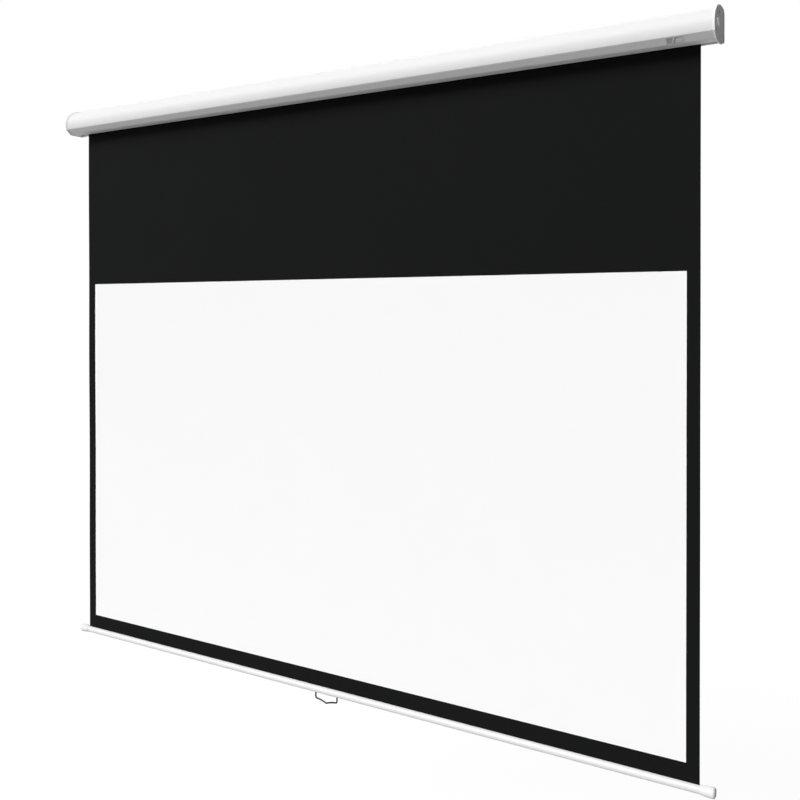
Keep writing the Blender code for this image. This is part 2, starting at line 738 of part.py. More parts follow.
def make_spring_side():
    bush_inner = ARBOR_RADIUS + FIT_GAP
    bush_outer = bush_inner + ARBOR_BUSH_WALL
    plug_bore = bush_outer + FIT_GAP
    hub_end = PLUG_OUTER_X + HUB_LENGTH
    roller_turned("spring_plug", plug_profile(plug_bore, hub_end), RIGHT, BLACK_PLASTIC, ROLLER)
    profile = ring(bush_outer, bush_inner, PLUG_INNER_X, hub_end + BUSH_PROUD)
    roller_turned("arbor_bush", profile, RIGHT, NYLON, ROLLER)

    arbor_end = BRACKET_X - FIT_GAP
    arbor_start = arbor_end - ARBOR_LENGTH
    profile = [(0, arbor_end), (ARBOR_RADIUS, arbor_end), (ARBOR_RADIUS, arbor_start), (0, arbor_start)]
    arbor = roller_turned("spring_arbor", profile, RIGHT, ZINC_STEEL)
    low = (arbor_end - OVERLAP, ROLLER_Y - TANG_HALF_WIDTH, ROLLER_Z - TANG_THICKNESS / 2)
    high = (CASING_HALF, ROLLER_Y + TANG_HALF_WIDTH, ROLLER_Z + TANG_THICKNESS / 2)
    join(arbor, box("join_spring_arbor_tang", low, high, cutter=True))

    steady_x = arbor_start + STEADY_GAP
    profile = ring(PLUG_RADIUS, bush_inner, steady_x, steady_x + STEADY_LENGTH)
    roller_turned("arbor_steady", profile, RIGHT, NYLON, ROLLER)
    anchor_x = steady_x + STEADY_LENGTH + STEADY_GAP
    profile = ring(ANCHOR_RADIUS, bush_inner, anchor_x, anchor_x + ANCHOR_LENGTH)
    roller_turned("spring_anchor", profile, RIGHT, ZINC_STEEL)
    make_torsion_spring(anchor_x + ANCHOR_LENGTH + FIT_GAP, PLUG_INNER_X - FIT_GAP)


def make_torsion_spring(start, end):
    """One unbroken coil round the arbor, with a short straight tail at each end."""
    coil_start, coil_end = start + SPRING_WIRE, end - SPRING_WIRE
    count = SPRING_CURLS * SPRING_POINTS
    points = [(start, SPRING_RADIUS, 0)]
    for i in range(count + 1):
        angle = 2 * math.pi * i / SPRING_POINTS
        x = coil_start + (coil_end - coil_start) * i / count
        points.append((x, SPRING_RADIUS * math.cos(angle), SPRING_RADIUS * math.sin(angle)))
    points.append((end, SPRING_RADIUS, 0))
    pitch = (coil_end - coil_start) / SPRING_CURLS
    next_curl = zip(points[1:], points[1 + SPRING_POINTS :])
    gap = min((Vector(p) - Vector(q)).length for p, q in next_curl) - SPRING_WIRE
    print(f"torsion spring: {SPRING_CURLS} curls, pitch {pitch:.5f} m, least gap {gap:.5f} m")
    wire("torsion_spring", points, SPRING_WIRE / 2, 1, (0, ROLLER_Y, ROLLER_Z), SPRING_STEEL, ROLLER)


def wire(name, points, radius, resolution, location, material, body):
    curve = bpy.data.curves.new(name, "CURVE")
    curve.dimensions = "3D"
    curve.bevel_depth = radius
    curve.bevel_resolution = resolution
    curve.use_fill_caps = True
    spline = curve.splines.new("POLY")
    spline.points.add(len(points) - 1)
    for point, place in zip(spline.points, points):
        point.co = (*place, 1)
    obj = add_object(name, curve, material, body)
    obj.location = location
    return obj


def make_roller():
    profile = ring(TUBE_RADIUS, TUBE_BORE, -TUBE_HALF, TUBE_HALF)
    roller_turned("roller_tube", profile, RIGHT, ZINC_STEEL, ROLLER)
    half = FABRIC_WIDTH / 2
    profile = ring(WOUND_OUTER, WOUND_INNER, -half, half)
    roller_turned("wound_fabric", profile, RIGHT, BLACK_FABRIC, ROLLER)


def make_ratchet():
    centre = (ROLLER_Y, ROLLER_Z)
    step = 360.0 / RATCHET_TEETH
    outline = []
    for tooth in range(RATCHET_TEETH):
        face = 180 + tooth * step
        for i in range(RAMP_STEPS + 1):
            share = i / RAMP_STEPS
            angle = math.radians(face - step * (1 - share))
            radius = RATCHET_ROOT + (RATCHET_TIP - RATCHET_ROOT) * share
            outline.append((centre[0] + radius * math.cos(angle), centre[1] + radius * math.sin(angle)))
    hole = circle(centre, HUB_RADIUS + FIT_GAP)
    section_plate(
        "ratchet_wheel", [outline, hole], RATCHET_X, RATCHET_X + RATCHET_WIDTH, ZINC_STEEL, ROLLER
    )


def make_pawl():
    """The pawl is drawn lifted; it turns about its pin by the pawl turn to catch a tooth."""
    pivot = Vector(PAWL_PIVOT)
    caught_radius = RATCHET_ROOT + PAWL_ROOT_GAP + PAWL_TIP_WIDTH / 2
    reach = Vector((ROLLER_Y - caught_radius, ROLLER_Z - 2 * FIT_GAP)) - pivot
    angle = math.atan2(reach.y, reach.x) + math.radians(PAWL_TURN)
    along = Vector((math.cos(angle), math.sin(angle)))
    across = Vector((-along.y, along.x)) * PAWL_TIP_WIDTH / 2
    tip = pivot + along * reach.length
    tail = Vector(TAIL_CENTRE)
    tail_angle = math.degrees(math.atan2(tail.y - pivot.y, tail.x - pivot.x))
    outline = [tuple(tip - across), tuple(tip + across)]
    outline += arc(PAWL_PIVOT, PAWL_BOSS, math.degrees(angle) + 90, tail_angle + 270, 2 * BEND_SEGMENTS)
    outline += arc(TAIL_CENTRE, TAIL_RADIUS, tail_angle - 90, tail_angle + 90, BEND_SEGMENTS)
    hole = circle(PAWL_PIVOT, PAWL_PIN_RADIUS + FIT_GAP, HOLE_SEGMENTS)
    section_plate("lock_pawl", [outline, hole], RATCHET_X, RATCHET_X + RATCHET_WIDTH, ZINC_STEEL, PAWL)


def make_pawl_pin():
    """A shouldered pin from the right bracket; the pawl turns between its two collars."""
    collar_end = BRACKET_X - FIT_GAP
    collar_start = RATCHET_X + RATCHET_WIDTH + FIT_GAP
    head_end = RATCHET_X - FIT_GAP
    head_start = head_end - PAWL_PIN_HEAD
    profile = [
        (0, CASING_HALF),
        (PAWL_PIN_RADIUS, CASING_HALF),
        (PAWL_PIN_RADIUS, collar_end),
        (PAWL_PIN_HEAD_RADIUS, collar_end),
        (PAWL_PIN_HEAD_RADIUS, collar_start),
        (PAWL_PIN_RADIUS, collar_start),
        (PAWL_PIN_RADIUS, head_end),
        (PAWL_PIN_HEAD_RADIUS, head_end),
        (PAWL_PIN_HEAD_RADIUS, head_start),
        (0, head_start),
    ]
    turned("pawl_pin", profile, (0, *PAWL_PIVOT), (1, 0, 0), ZINC_STEEL, segments=HOLE_SEGMENTS)


def make_selector():
    """A thumb slide in the casing's window, its carrier behind the wall, and its cam arm to the pawl."""
    thumb_right = WINDOW_END - THUMB_GAP
    thumb_left = thumb_right - THUMB_LENGTH
    root_depth = CARRIER_DEPTH + CARRIER_WALL / 2
    top = WINDOW_TOP + THUMB_GAP
    bottom = WINDOW_TOP + WINDOW_HEIGHT - FIT_GAP
    thumb = [
        (thumb_left, bottom),
        (thumb_left + THUMB_SLANT, top),
        (thumb_right, WINDOW_TOP + FIT_GAP),
        (thumb_right, bottom),
    ]
    carrier_back = CARRIER_DEPTH + CARRIER_WALL
    slide = slope_plate("selector_slide", thumb, -THUMB_PROUD, root_depth, WHITE_PLASTIC, SELECTOR)
    rib_low, rib_high = bottom - RIB_INSET, top + RIB_INSET
    slant = THUMB_SLANT / (bottom - top)
    rib_foot = thumb_left + RIB_INSET * (1 + slant)
    rib_head = thumb_left + THUMB_SLANT + RIB_INSET * (1 - slant)
    rib = [
        (rib_foot, rib_low),
        (rib_head, rib_high),
        (rib_head + RIB_WIDTH, rib_high),
        (rib_foot + RIB_WIDTH, rib_low),
    ]
    join(slide, slope_plate("join_selector_rib", rib, -RIB_PROUD, CASING_WALL / 2, cutter=True))
    low = (WINDOW_START - CARRIER_MARGIN, WINDOW_TOP - CARRIER_MARGIN)
    high = (WINDOW_END + SELECTOR_TRAVEL, WINDOW_TOP + WINDOW_HEIGHT + CARRIER_MARGIN)
    outline = rectangle(low, high)
    join(slide, slope_plate("join_selector_carrier", outline, CARRIER_DEPTH, carrier_back, cutter=True))
    join(slide, make_cam_arm(high[0] - ARM_WIDTH))


def make_cam_arm(start):
    """The arm's inner face is high under the lifted pawl and falls away over the selector's travel."""
    back = CARRIER_DEPTH + ARM_THICKNESS
    cam_end = RATCHET_X + SELECTOR_TRAVEL
    side_view = [
        (start, CARRIER_DEPTH),
        (cam_end + RATCHET_WIDTH, CARRIER_DEPTH),
        (cam_end + RATCHET_WIDTH, back - CAM_DROP),
        (cam_end, back - CAM_DROP),
        (RATCHET_X, back),
        (start, back),
    ]
    curve = flat_outline("join_selector_arm", [side_view], ARM_WIDTH)
    arm = add_object("join_selector_arm", curve, None, cutter=True)
    middle = Matrix.Translation((0, ARM_TOP + ARM_WIDTH / 2, 0))
    arm.matrix_world = SLOPE_FRAME @ middle @ Matrix.Rotation(math.pi / 2, 4, "X")
    return as_mesh(arm, cutter=True)


def make_hanger(side):
    name = f"hanger_plate_{SIDE_NAME[side]}"
    centre_x = side * HANGER_X
    half = (RIVET_PITCH + 2 * HANGER_EDGE) / 2 + RIVET_HEAD_RADIUS
    mouth = math.degrees(math.asin(KEYSLOT_RADIUS / KEYHOLE_RADIUS))
    bottom, top = -RIVET_HEAD_RADIUS - HANGER_EDGE, KEYSLOT_TOP + KEYSLOT_RADIUS + HANGER_EDGE
    outline = rectangle((centre_x - half, bottom), (centre_x + half, top))
    keyhole = arc((centre_x, KEYHOLE_Z), KEYHOLE_RADIUS, 90 + mouth, 450 - mouth, HOLE_SEGMENTS)
    keyhole += arc((centre_x, KEYSLOT_TOP), KEYSLOT_RADIUS, 0, 180, HOLE_SEGMENTS // 2)
    curve = flat_outline(name, [outline, keyhole], HANGER_PLATE)
    plate = add_object(name, curve, ZINC_STEEL)
    plate.location = (0, FIT_GAP + HANGER_PLATE / 2, 0)
    plate.rotation_euler = (math.pi / 2, 0, 0)
    plate = as_mesh(plate)
    outer_y = FIT_GAP + HANGER_PLATE
    head_floor = outer_y - RIVET_HEAD_HEIGHT - 2 * FIT_GAP
    inside = -CASING_WALL - FIT_GAP
    cutters = []
    for number, x in enumerate(hanger_rivet_places(side), 1):
        end = (x, outer_y + OVERLAP, 0)
        cutters.append(drill(f"cut_{name}_{number}", RIVET_RADIUS + HOLE_GAP, (x, 0, 0), end))
        head_hole = RIVET_HEAD_RADIUS + HOLE_GAP
        cutters.append(drill(f"cut_{name}_head_{number}", head_hole, (x, head_floor, 0), end))
        head_y = outer_y - RIVET_HEAD_HEIGHT - FIT_GAP
        profile = [
            (0, outer_y - FIT_GAP),
            (RIVET_HEAD_RADIUS, outer_y - FIT_GAP),
            (RIVET_HEAD_RADIUS, head_y),
            (RIVET_RADIUS, head_y),
            (RIVET_RADIUS, inside),
            (RIVET_HEAD_RADIUS, inside),
            (RIVET_HEAD_RADIUS, inside - RIVET_HEAD_HEIGHT),
            (0, inside - RIVET_HEAD_HEIGHT),
        ]
        rivet_name = f"hanger_rivet_{SIDE_NAME[side]}_{number}"
        turned(rivet_name, profile, (x, 0, 0), (0, 1, 0), ZINC_STEEL, segments=HOLE_SEGMENTS)
    cut(plate, cutters)


def make_fabric():
    """The hanging sheet; its front face is split so that the white viewing area has its own faces."""
    bottom = BAR_Z + KEDER_RISE + KEDER_RADIUS + FIT_GAP
    low = Vector((-FABRIC_WIDTH / 2, -FABRIC_THICKNESS / 2, bottom))
    high = Vector((FABRIC_WIDTH / 2, FABRIC_THICKNESS / 2, ROLLER_Z))
    bm = bmesh.new()
    bmesh.ops.create_cube(bm, size=1.0)
    bmesh.ops.scale(bm, vec=high - low, verts=bm.verts)
    bmesh.ops.translate(bm, vec=(low + high) / 2, verts=bm.verts)
    cuts = [((side * VIEW_WIDTH / 2, 0, 0), (1, 0, 0)) for side in (LEFT, RIGHT)]
    cuts += [((0, 0, level), (0, 0, 1)) for level in (VIEW_BOTTOM, VIEW_TOP)]
    for point, normal in cuts:
        geometry = list(bm.verts) + list(bm.edges) + list(bm.faces)
        bmesh.ops.bisect_plane(bm, geom=geometry, dist=0.000001, plane_co=point, plane_no=normal)
    mesh = bpy.data.meshes.new("screen_fabric")
    bm.to_mesh(mesh)
    bm.free()
    add_object("screen_fabric", mesh, BLACK_FABRIC).location = (0, FABRIC_Y, 0)
    mesh.materials.append(WHITE_FABRIC)
    for face in mesh.polygons:
        centre = face.center
        inside = abs(centre.x) < VIEW_WIDTH / 2 and VIEW_BOTTOM < centre.z < VIEW_TOP
        if face.normal.y < -0.5 and inside:
            face.material_index = 1


def bar_outline():
    """The bar's rim, running into the keder channel through its mouth and out again."""
    mouth = CHANNEL_MOUTH / 2
    outer_angle = math.degrees(math.asin(mouth / BAR_RADIUS))
    inner_angle = math.degrees(math.asin(mouth / KEDER_CHANNEL))
    centre = (FABRIC_Y, BAR_Z)
    channel = (FABRIC_Y, BAR_Z + KEDER_RISE)
    outline = arc(centre, BAR_RADIUS, 90 + outer_angle, 450 - outer_angle, BAR_SEGMENTS)
    outline += arc(channel, KEDER_CHANNEL, 90 - inner_angle, -270 + inner_angle, HOLE_SEGMENTS)
    return outline


def make_weight_bar():
    bore = circle((FABRIC_Y, BAR_Z - ROD_BORE_DROP), ROD_BORE)
    bar = section_plate("weight_bar", [bar_outline(), bore], -BAR_HALF, BAR_HALF, WHITE_STEEL, BAR)
    cutters = []
    for side in (LEFT, RIGHT):
        leg_x = HANDLE_X + side * HANDLE_SPAN / 2
        reach_out = side * (HANDLE_WIRE + 2 * HOLE_GAP)
        reach_in = -side * 2 * HANDLE_WIRE
        xs = sorted((leg_x + reach_out, leg_x + reach_in))
        low = (xs[0], FABRIC_Y - HANDLE_SLOT_HALF, BAR_Z - BAR_RADIUS - OVERLAP)
        high = (xs[1], FABRIC_Y + HANDLE_SLOT_HALF, PIVOT_Z - OVERLAP)
        cutters.append(box(f"cut_weight_bar_leg_{SIDE_NAME[side]}", low, high, cutter=True))

        rod_gap = HANDLE_SPAN / 2 + 2 * HANDLE_WIRE
        ends = sorted((HANDLE_X + side * rod_gap, side * BAR_HALF))
        name = f"weight_rod_{SIDE_NAME[side]}"
        centre = (FABRIC_Y, BAR_Z - ROD_BORE_DROP)
        section_plate(name, [circle(centre, ROD_RADIUS, HOLE_SEGMENTS)], ends[0], ends[1], ZINC_STEEL, BAR)
        make_bar_cap(side)

        bush_x = leg_x - side * (HANDLE_BEND + FIT_GAP)
        ends = sorted((bush_x, bush_x - side * HANDLE_BUSH_LENGTH))
        rim = circle(centre, HANDLE_BUSH_RADIUS)
        hole = circle(centre, HANDLE_WIRE + FIT_GAP, HOLE_SEGMENTS)
        section_plate(f"handle_bush_{SIDE_NAME[side]}", [rim, hole], ends[0], ends[1], NYLON, BAR)
    cut(bar, cutters)
    keder = [circle((FABRIC_Y, BAR_Z + KEDER_RISE), KEDER_RADIUS, HOLE_SEGMENTS)]
    half = FABRIC_WIDTH / 2
    section_plate("fabric_keder", keder, -half, half, BLACK_PLASTIC, BAR)


def make_bar_cap(side):
    """A socket cap over the bar's end, with a rounded outer end."""
    socket = BAR_RADIUS + FIT_GAP
    floor = BAR_CAP_END - BAR_CAP_FLOOR
    profile = [(0, BAR_CAP_END)]
    round_centre = (BAR_CAP_RADIUS - BAR_CAP_ROUND, BAR_CAP_END - BAR_CAP_ROUND)
    profile += arc(round_centre, BAR_CAP_ROUND, 90, 0, BEND_SEGMENTS)
    profile += [
        (BAR_CAP_RADIUS, BAR_CAP_X + BAR_CAP_EDGE),
        (BAR_CAP_RADIUS - BAR_CAP_EDGE, BAR_CAP_X),
        (socket, BAR_CAP_X),
        (socket, floor),
        (0, floor),
    ]
    location = (0, FABRIC_Y, BAR_Z)
    name = f"bar_cap_{SIDE_NAME[side]}"
    turned(name, profile, location, (side, 0, 0), WHITE_PLASTIC, BAR)


def handle_points():
    """The bail from stub to stub, as (x, z) from the handle's middle on its pivot axis."""
    half = HANDLE_SPAN / 2
    stub_x = half - HANDLE_BEND - HANDLE_STUB
    corner_z = -HANDLE_DROP + ROD_BORE_DROP
    bend = arc((half - HANDLE_BEND, -HANDLE_BEND), HANDLE_BEND, 90, 0, BEND_SEGMENTS)
    lean = math.degrees(math.atan2(HANDLE_SAG, half))
    corner_centre = (half - HANDLE_CORNER, corner_z + HANDLE_CORNER)
    corner = arc(corner_centre, HANDLE_CORNER, 0, -90 + lean, BEND_SEGMENTS - 1)
    grip = []
    edge_x, edge_z = corner[-1]
    for i in range(1, GRIP_STEPS + 1):
        share = i / GRIP_STEPS
        x = edge_x * (1 - share)
        bent = (HANDLE_SAG - HANDLE_SAG_STRAIGHT) * share**2
        z = edge_z - HANDLE_SAG_STRAIGHT * share - bent
        grip.append((x, z))
    right = [(stub_x, 0)] + bend + corner + grip
    left = [(-x, z) for x, z in reversed(right[:-1])]
    return right + left


def make_handle():
    points = [(x, 0, z) for x, z in handle_points()]
    wire("pull_handle", points, HANDLE_WIRE, 2, (HANDLE_X, FABRIC_Y, PIVOT_Z), HANDLE_STEEL, HANDLE)


RATCHET_X = PLUG_OUTER_X + FIT_GAP
PAWL_SEAT = CARRIER_DEPTH + ARM_THICKNESS + FIT_GAP
TAIL_SLOPE = ARM_TOP + ARM_WIDTH / 2
TAIL_CENTRE = tuple((SLOPE_FRAME @ Vector((0, TAIL_SLOPE, PAWL_SEAT + TAIL_RADIUS))).yz)
PAWL_PIVOT = tuple((SLOPE_FRAME @ Vector((0, TAIL_SLOPE - TAIL_REACH, PAWL_SEAT + PAWL_BOSS))).yz)

ROLLER = make_body("roller_axis", (0, ROLLER_Y, ROLLER_Z))
PAWL = make_body("pawl_axis", (RATCHET_X, *PAWL_PIVOT))
SELECTOR = make_body("selector_guide", (WINDOW_START, FRONT_CORNER[0], FRONT_CORNER[1]))
BAR = make_body("bar_travel", (0, FABRIC_Y, BAR_Z))
HANDLE = make_body("handle_pivot", (HANDLE_X, FABRIC_Y, PIVOT_Z))

make_casing()
for each_side in (LEFT, RIGHT):
    make_end_cap(each_side)
    make_roller_bracket(each_side)
    make_screws(each_side)
    make_hanger(each_side)
make_idler_side()
make_spring_side()
make_roller()
make_ratchet()
make_pawl()
make_pawl_pin()
make_selector()
make_fabric()
make_weight_bar()
make_handle()

print(f"screen travel {SCREEN_TRAVEL:.6f} m, {TRAVEL_TEETH} teeth, roll radius {ROLL_RADIUS * 1000:.3f} mm")
print(f"roller axis y {ROLLER_Y:.5f} z {ROLLER_Z:.5f}")
print(f"pawl axis y {PAWL_PIVOT[0]:.6f} z {PAWL_PIVOT[1]:.6f}")
print(f"fabric plane y {FABRIC_Y:.5f}, bar z {BAR_Z:.5f}, handle pivot z {PIVOT_Z:.5f}")
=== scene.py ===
"""Looks of the pull-down projection screen: fine visual pieces, materials, light and camera."""
import json
import math

import bmesh
import bpy
from mathutils import Matrix, Vector

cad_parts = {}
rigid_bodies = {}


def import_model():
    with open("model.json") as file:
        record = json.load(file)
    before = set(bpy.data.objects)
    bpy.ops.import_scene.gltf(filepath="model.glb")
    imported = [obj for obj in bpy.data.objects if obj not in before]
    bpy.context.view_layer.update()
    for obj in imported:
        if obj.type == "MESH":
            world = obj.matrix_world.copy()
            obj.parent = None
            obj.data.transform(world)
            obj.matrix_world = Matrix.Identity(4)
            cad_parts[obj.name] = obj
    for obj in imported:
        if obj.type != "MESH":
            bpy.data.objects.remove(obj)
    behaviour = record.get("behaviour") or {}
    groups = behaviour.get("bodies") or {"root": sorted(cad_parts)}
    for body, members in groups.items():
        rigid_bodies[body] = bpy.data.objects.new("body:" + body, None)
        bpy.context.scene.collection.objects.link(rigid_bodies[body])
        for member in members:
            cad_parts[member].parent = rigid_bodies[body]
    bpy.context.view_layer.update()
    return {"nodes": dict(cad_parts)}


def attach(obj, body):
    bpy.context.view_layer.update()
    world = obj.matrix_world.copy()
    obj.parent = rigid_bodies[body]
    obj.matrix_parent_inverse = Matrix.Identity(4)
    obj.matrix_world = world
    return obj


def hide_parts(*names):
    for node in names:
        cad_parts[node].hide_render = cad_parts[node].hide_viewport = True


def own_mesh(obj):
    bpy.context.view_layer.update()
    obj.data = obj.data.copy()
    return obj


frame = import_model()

# Camera, fitted to the photograph: metres, degrees, millimetres for the lens and sensor, and the shift as
# shares of the frame's width
CAMERA_PLACE = (1.65167, -2.23915, -0.69003)
CAMERA_PITCH = -0.3425
CAMERA_YAW = 28.9073
CAMERA_LENS = 38.944
CAMERA_SENSOR = 36.0
CAMERA_SHIFT = (-0.06902, -0.10384)

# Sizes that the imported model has, in metres, with places in the section as (y, z)
CASING_DEPTH = 0.105
DOME_Z = 0.011
DOME_RISE = 0.0565
CREST_SETBACK = 0.030
TOP_CORNER = 0.012
FRONT_CORNER = (-0.102, -0.0085)
BELLY_FRONT = (-0.0845, -0.024)
BELLY_BACK = (-0.0375, -0.024)
BACK_LOW = (0.0, -0.011)
SLOT_FRONT = (-0.0495, -0.024)
LIP_HEIGHT = 0.008
CASING_WALL = 0.0014
CASING_HALF = 1.1825
CAP_INNER = 1.1828
CAP_OUTER = 1.1895
CAP_PROUD = 0.003
CAP_RIM = 0.005
CAP_RECESS = 0.0012
SPIGOT_LENGTH = 0.010
SPIGOT_OUTER = 0.0017
SPIGOT_INNER = 0.0039
DISH_PLACE = (-0.064, 0.0225)
DISH_RADIUS = 0.018
DISH_SQUASH = 0.5
DISH_DEPTH = 0.0015
FACE_SCREWS = ((-0.0525, 0.049), (-0.0825, -0.001), (-0.0225, -0.001))
SCREW_HOLE = 0.0022
BACK_SCREW_X = 1.1775
HANGER_RIVETS = (0.991, 1.009)
RIVET_HOLE = 0.0023
HANGER_X = 1.0
SCREW_ROOM = ((-0.007, 0.027), (0.007, 0.053))
WINDOW = ((1.068, 0.004), (1.111, 0.0215))

FABRIC_Y = -0.0435
FABRIC_HALF = 1.1416
FABRIC_THICKNESS = 0.0005
FABRIC_TOP = 0.018
FABRIC_BOTTOM = -1.8821
FABRIC_LENGTH = FABRIC_TOP - FABRIC_BOTTOM
VIEW_HALF = 1.107
VIEW_TOP = -0.587
VIEW_BOTTOM = -1.832

BAR_Z = -1.891
BAR_RADIUS = 0.011
BAR_HALF = 1.1768
KEDER_RISE = 0.006
KEDER_CHANNEL = 0.003
CHANNEL_MOUTH = 0.0016
ROD_BORE = 0.0055
ROD_BORE_DROP = 0.004
BAR_CAP_RADIUS = 0.014
BAR_CAP_START = 1.1436
BAR_CAP_END = 1.1811
BAR_CAP_FLOOR = 0.004
BAR_CAP_ROUND = 0.006
FIT_GAP = 0.0003

HANDLE_X = -0.027
HANDLE_SPAN = 0.0835
HANDLE_WIRE = 0.0025
HANDLE_BEND = 0.008
HANDLE_CORNER = 0.006
HANDLE_DROP = 0.026
HANDLE_SAG = 0.009
HANDLE_SAG_STRAIGHT = 0.00315
HANDLE_STUB = 0.012
PIVOT_Z = -1.895

# The selector, in metres: places along X, places down the sloped front, and depths behind its face
CARRIER_DEPTH = CASING_WALL + FIT_GAP
CARRIER_THICKNESS = 0.0025
CARRIER = ((1.0672, 0.0032), (1.122, 0.0223))
SELECTOR_LEFT = 1.0795
SELECTOR_RIGHT = 1.1105
SELECTOR_BOTTOM = 0.0212
SELECTOR_ROOT = 0.00125
RIB_PROUD = 0.0022
RIB_WIDTH = 0.0036
RIB_FOOT = 0.00070958
RIB_HEAD = 0.0052
RIB_TOP = 0.0072
RIB_EDGE = 0.0005
THUMB_PROUD = 0.0003
THUMB_EDGE = 0.0003
THUMB_GROOVE = 0.0060
THUMB_CORNER = 0.0068
THUMB_CURVE = ((0.0036, 0.0135), (0.0070, 0.0098), (0.0115, 0.0080), (0.0165, 0.0072))
ARM_START = 1.116
ARM_RAMP = 1.1482
ARM_CAM = 1.1592
ARM_END = 1.1642
ARM_BACK = 0.0055
ARM_CAM_DROP = 0.0022
ARM_SIDES = (0.011, 0.017)

# Finer forms that only the looks have, in metres, but for the shoulder's slope and ease and the taper's
# power, which are plain numbers
BEND = 0.0019
BELLY_BEND = 0.005
SLOT_BEND = 0.0075
CAP_BEND = 0.0024
TIGHTEST_BEND = 0.0006
WINDOW_CORNER = 0.0012
SWELL_LENGTH = 0.0055
SWELL_RISE = 0.0027
SHOULDER_SLOPE = 1.2
SHOULDER_EASE = 0.2
CAP_EDGE = 0.0012
RIM_EDGE = 0.0005
PANEL_EDGE = 0.0003
DISH_LIP = 0.0003
DISH_LIP_DEPTH = 0.0002
DISH_FLARE = 0.0004
BAR_SWELL_LENGTH = 0.030
BAR_SWELL_RISE = 0.0024
BAR_SWELL_POWER = 1.5
CLOTH_EDGE_WAVE = 0.0006
CLOTH_WAVE = 0.0002

# How fast the cloth's waves turn, in radians to the metre, and the right edge's start, in radians
EDGE_TURN = 9.0
ACROSS_TURN = 5
DOWN_TURN = 4
RIGHT_SHIFT = 0.8

# Reaches of the cutters past what they cut, and the room that they leave, in metres
PAST = 0.001
BACK_REACH = 0.005
SPIGOT_REACH = 0.010
END_REACH = 0.010
SLOT_ROOM = 0.0011
LEG_ROOM = 0.0075
LEG_STOP = 0.001

# The largest angle between faces that still shade as one, in degrees
SMOOTH = 35
CAP_SMOOTH = 30
WIRE_SMOOTH = 50
CLOTH_SMOOTH = 60

# Numbers of steps in the finer curves
DOME_STEPS = 60
FRONT_STEPS = 6
SHOULDER_STEPS = 8
RIM_STEPS = 4
PANEL_STEPS = 3
TAPER_STEPS = 12
GRIP_STEPS = 16

# A radius under ON_AXIS is a point on the axis, and vertices nearer than WELD are one, both in metres
ON_AXIS = 1e-9
WELD = 0.000001

SECOND_MATERIAL = 1
THIRD_MATERIAL = 2
LEFT, RIGHT = -1, 1
SIDES = {LEFT: "left", RIGHT: "right"}


# Small helpers for outlines in the (y, z) plane
def arc(centre, radius, start, end, steps):
    """Points on an arc, from the start angle to the end angle in degrees, both included."""
    angles = [math.radians(start + (end - start) * i / steps) for i in range(steps + 1)]
    return [(centre[0] + radius * math.cos(a), centre[1] + radius * math.sin(a)) for a in angles]


def fillet(before, corner, after, radius, steps=5):
    """The corner of a polyline, rounded to a radius."""
    corner = Vector(corner)
    back = (Vector(before) - corner).normalized()
    ahead = (Vector(after) - corner).normalized()
    half = back.angle(ahead) / 2
    reach = radius / math.tan(half)
    centre = corner + (back + ahead).normalized() * radius / math.sin(half)
    first = corner + back * reach - centre
    turn = first.angle_signed(corner + ahead * reach - centre)
    return [tuple(centre + Matrix.Rotation(-turn * i / steps, 2) @ first) for i in range(steps + 1)]


def rounded(points, radii, closed=False):
    """A polyline with a fillet at each point that has a radius."""
    result = []
    for i, point in enumerate(points):
        at_end = not closed and i in (0, len(points) - 1)
        if at_end or not radii.get(point):
            result.append(point)
        else:
            result += fillet(points[i - 1], point, points[(i + 1) % len(points)], radii[point])
    return result


def offset(points, distance):
    """Each side of a closed outline moved outwards by a distance."""
    following = points[1:] + points[:1]
    area = sum(a[0] * b[1] - b[0] * a[1] for a, b in zip(points, following))
    turn = 1 if area > 0 else -1
    result = []
    for i, here in enumerate(points):
        here = Vector(here)
        before = (here - Vector(points[i - 1])).normalized()
        after = (Vector(following[i]) - here).normalized()
        normal = Vector((before.y, -before.x)) * turn
        other = Vector((after.y, -after.x)) * turn
        middle = (normal + other).normalized()
        result.append(tuple(here + middle * distance / middle.dot(normal)))
    return result


def front_curve():
    """The casing's lower front: it leaves the dome straight down and curves in to the front corner."""
    drop = DOME_Z - FRONT_CORNER[1]
    lean = FRONT_CORNER[0] + CASING_DEPTH
    radius = (drop**2 + lean**2) / (2 * lean)
    end = math.degrees(math.asin(drop / radius))
    centre = (radius - CASING_DEPTH, DOME_Z)
    return arc(centre, radius, 180, 180 + end, FRONT_STEPS)[1:]


def casing_outline():
    """The closed section, from the top of the flat back over the dome and the front to the belly."""
    points = arc((-TOP_CORNER, DOME_Z + DOME_RISE - TOP_CORNER), TOP_CORNER, 0, 90, 14)
    for across, up in arc((0, 0), 1, 90, 180, DOME_STEPS):
        points.append((across * (CASING_DEPTH - CREST_SETBACK) - CREST_SETBACK, DOME_Z + up * DOME_RISE))
    points += front_curve()
    points += [BELLY_FRONT, BELLY_BACK, BACK_LOW]
    return points


OUTLINE = casing_outline()


# Small helpers for meshes
def new_object(name, bm, material, smooth_angle=SMOOTH):
    """An object from a bmesh, with a material and smooth shading where they are given."""
    bmesh.ops.recalc_face_normals(bm, faces=bm.faces)
    mesh = bpy.data.meshes.new(name)
    bm.to_mesh(mesh)
    bm.free()
    obj = bpy.data.objects.new(name, mesh)
    bpy.context.scene.collection.objects.link(obj)
    if material:
        mesh.materials.append(material)
    if smooth_angle:
        smooth(obj, smooth_angle)
    return obj


def smooth(obj, angle):
    for polygon in obj.data.polygons:
        polygon.use_smooth = True
    obj.data.set_sharp_from_angle(angle=math.radians(angle))


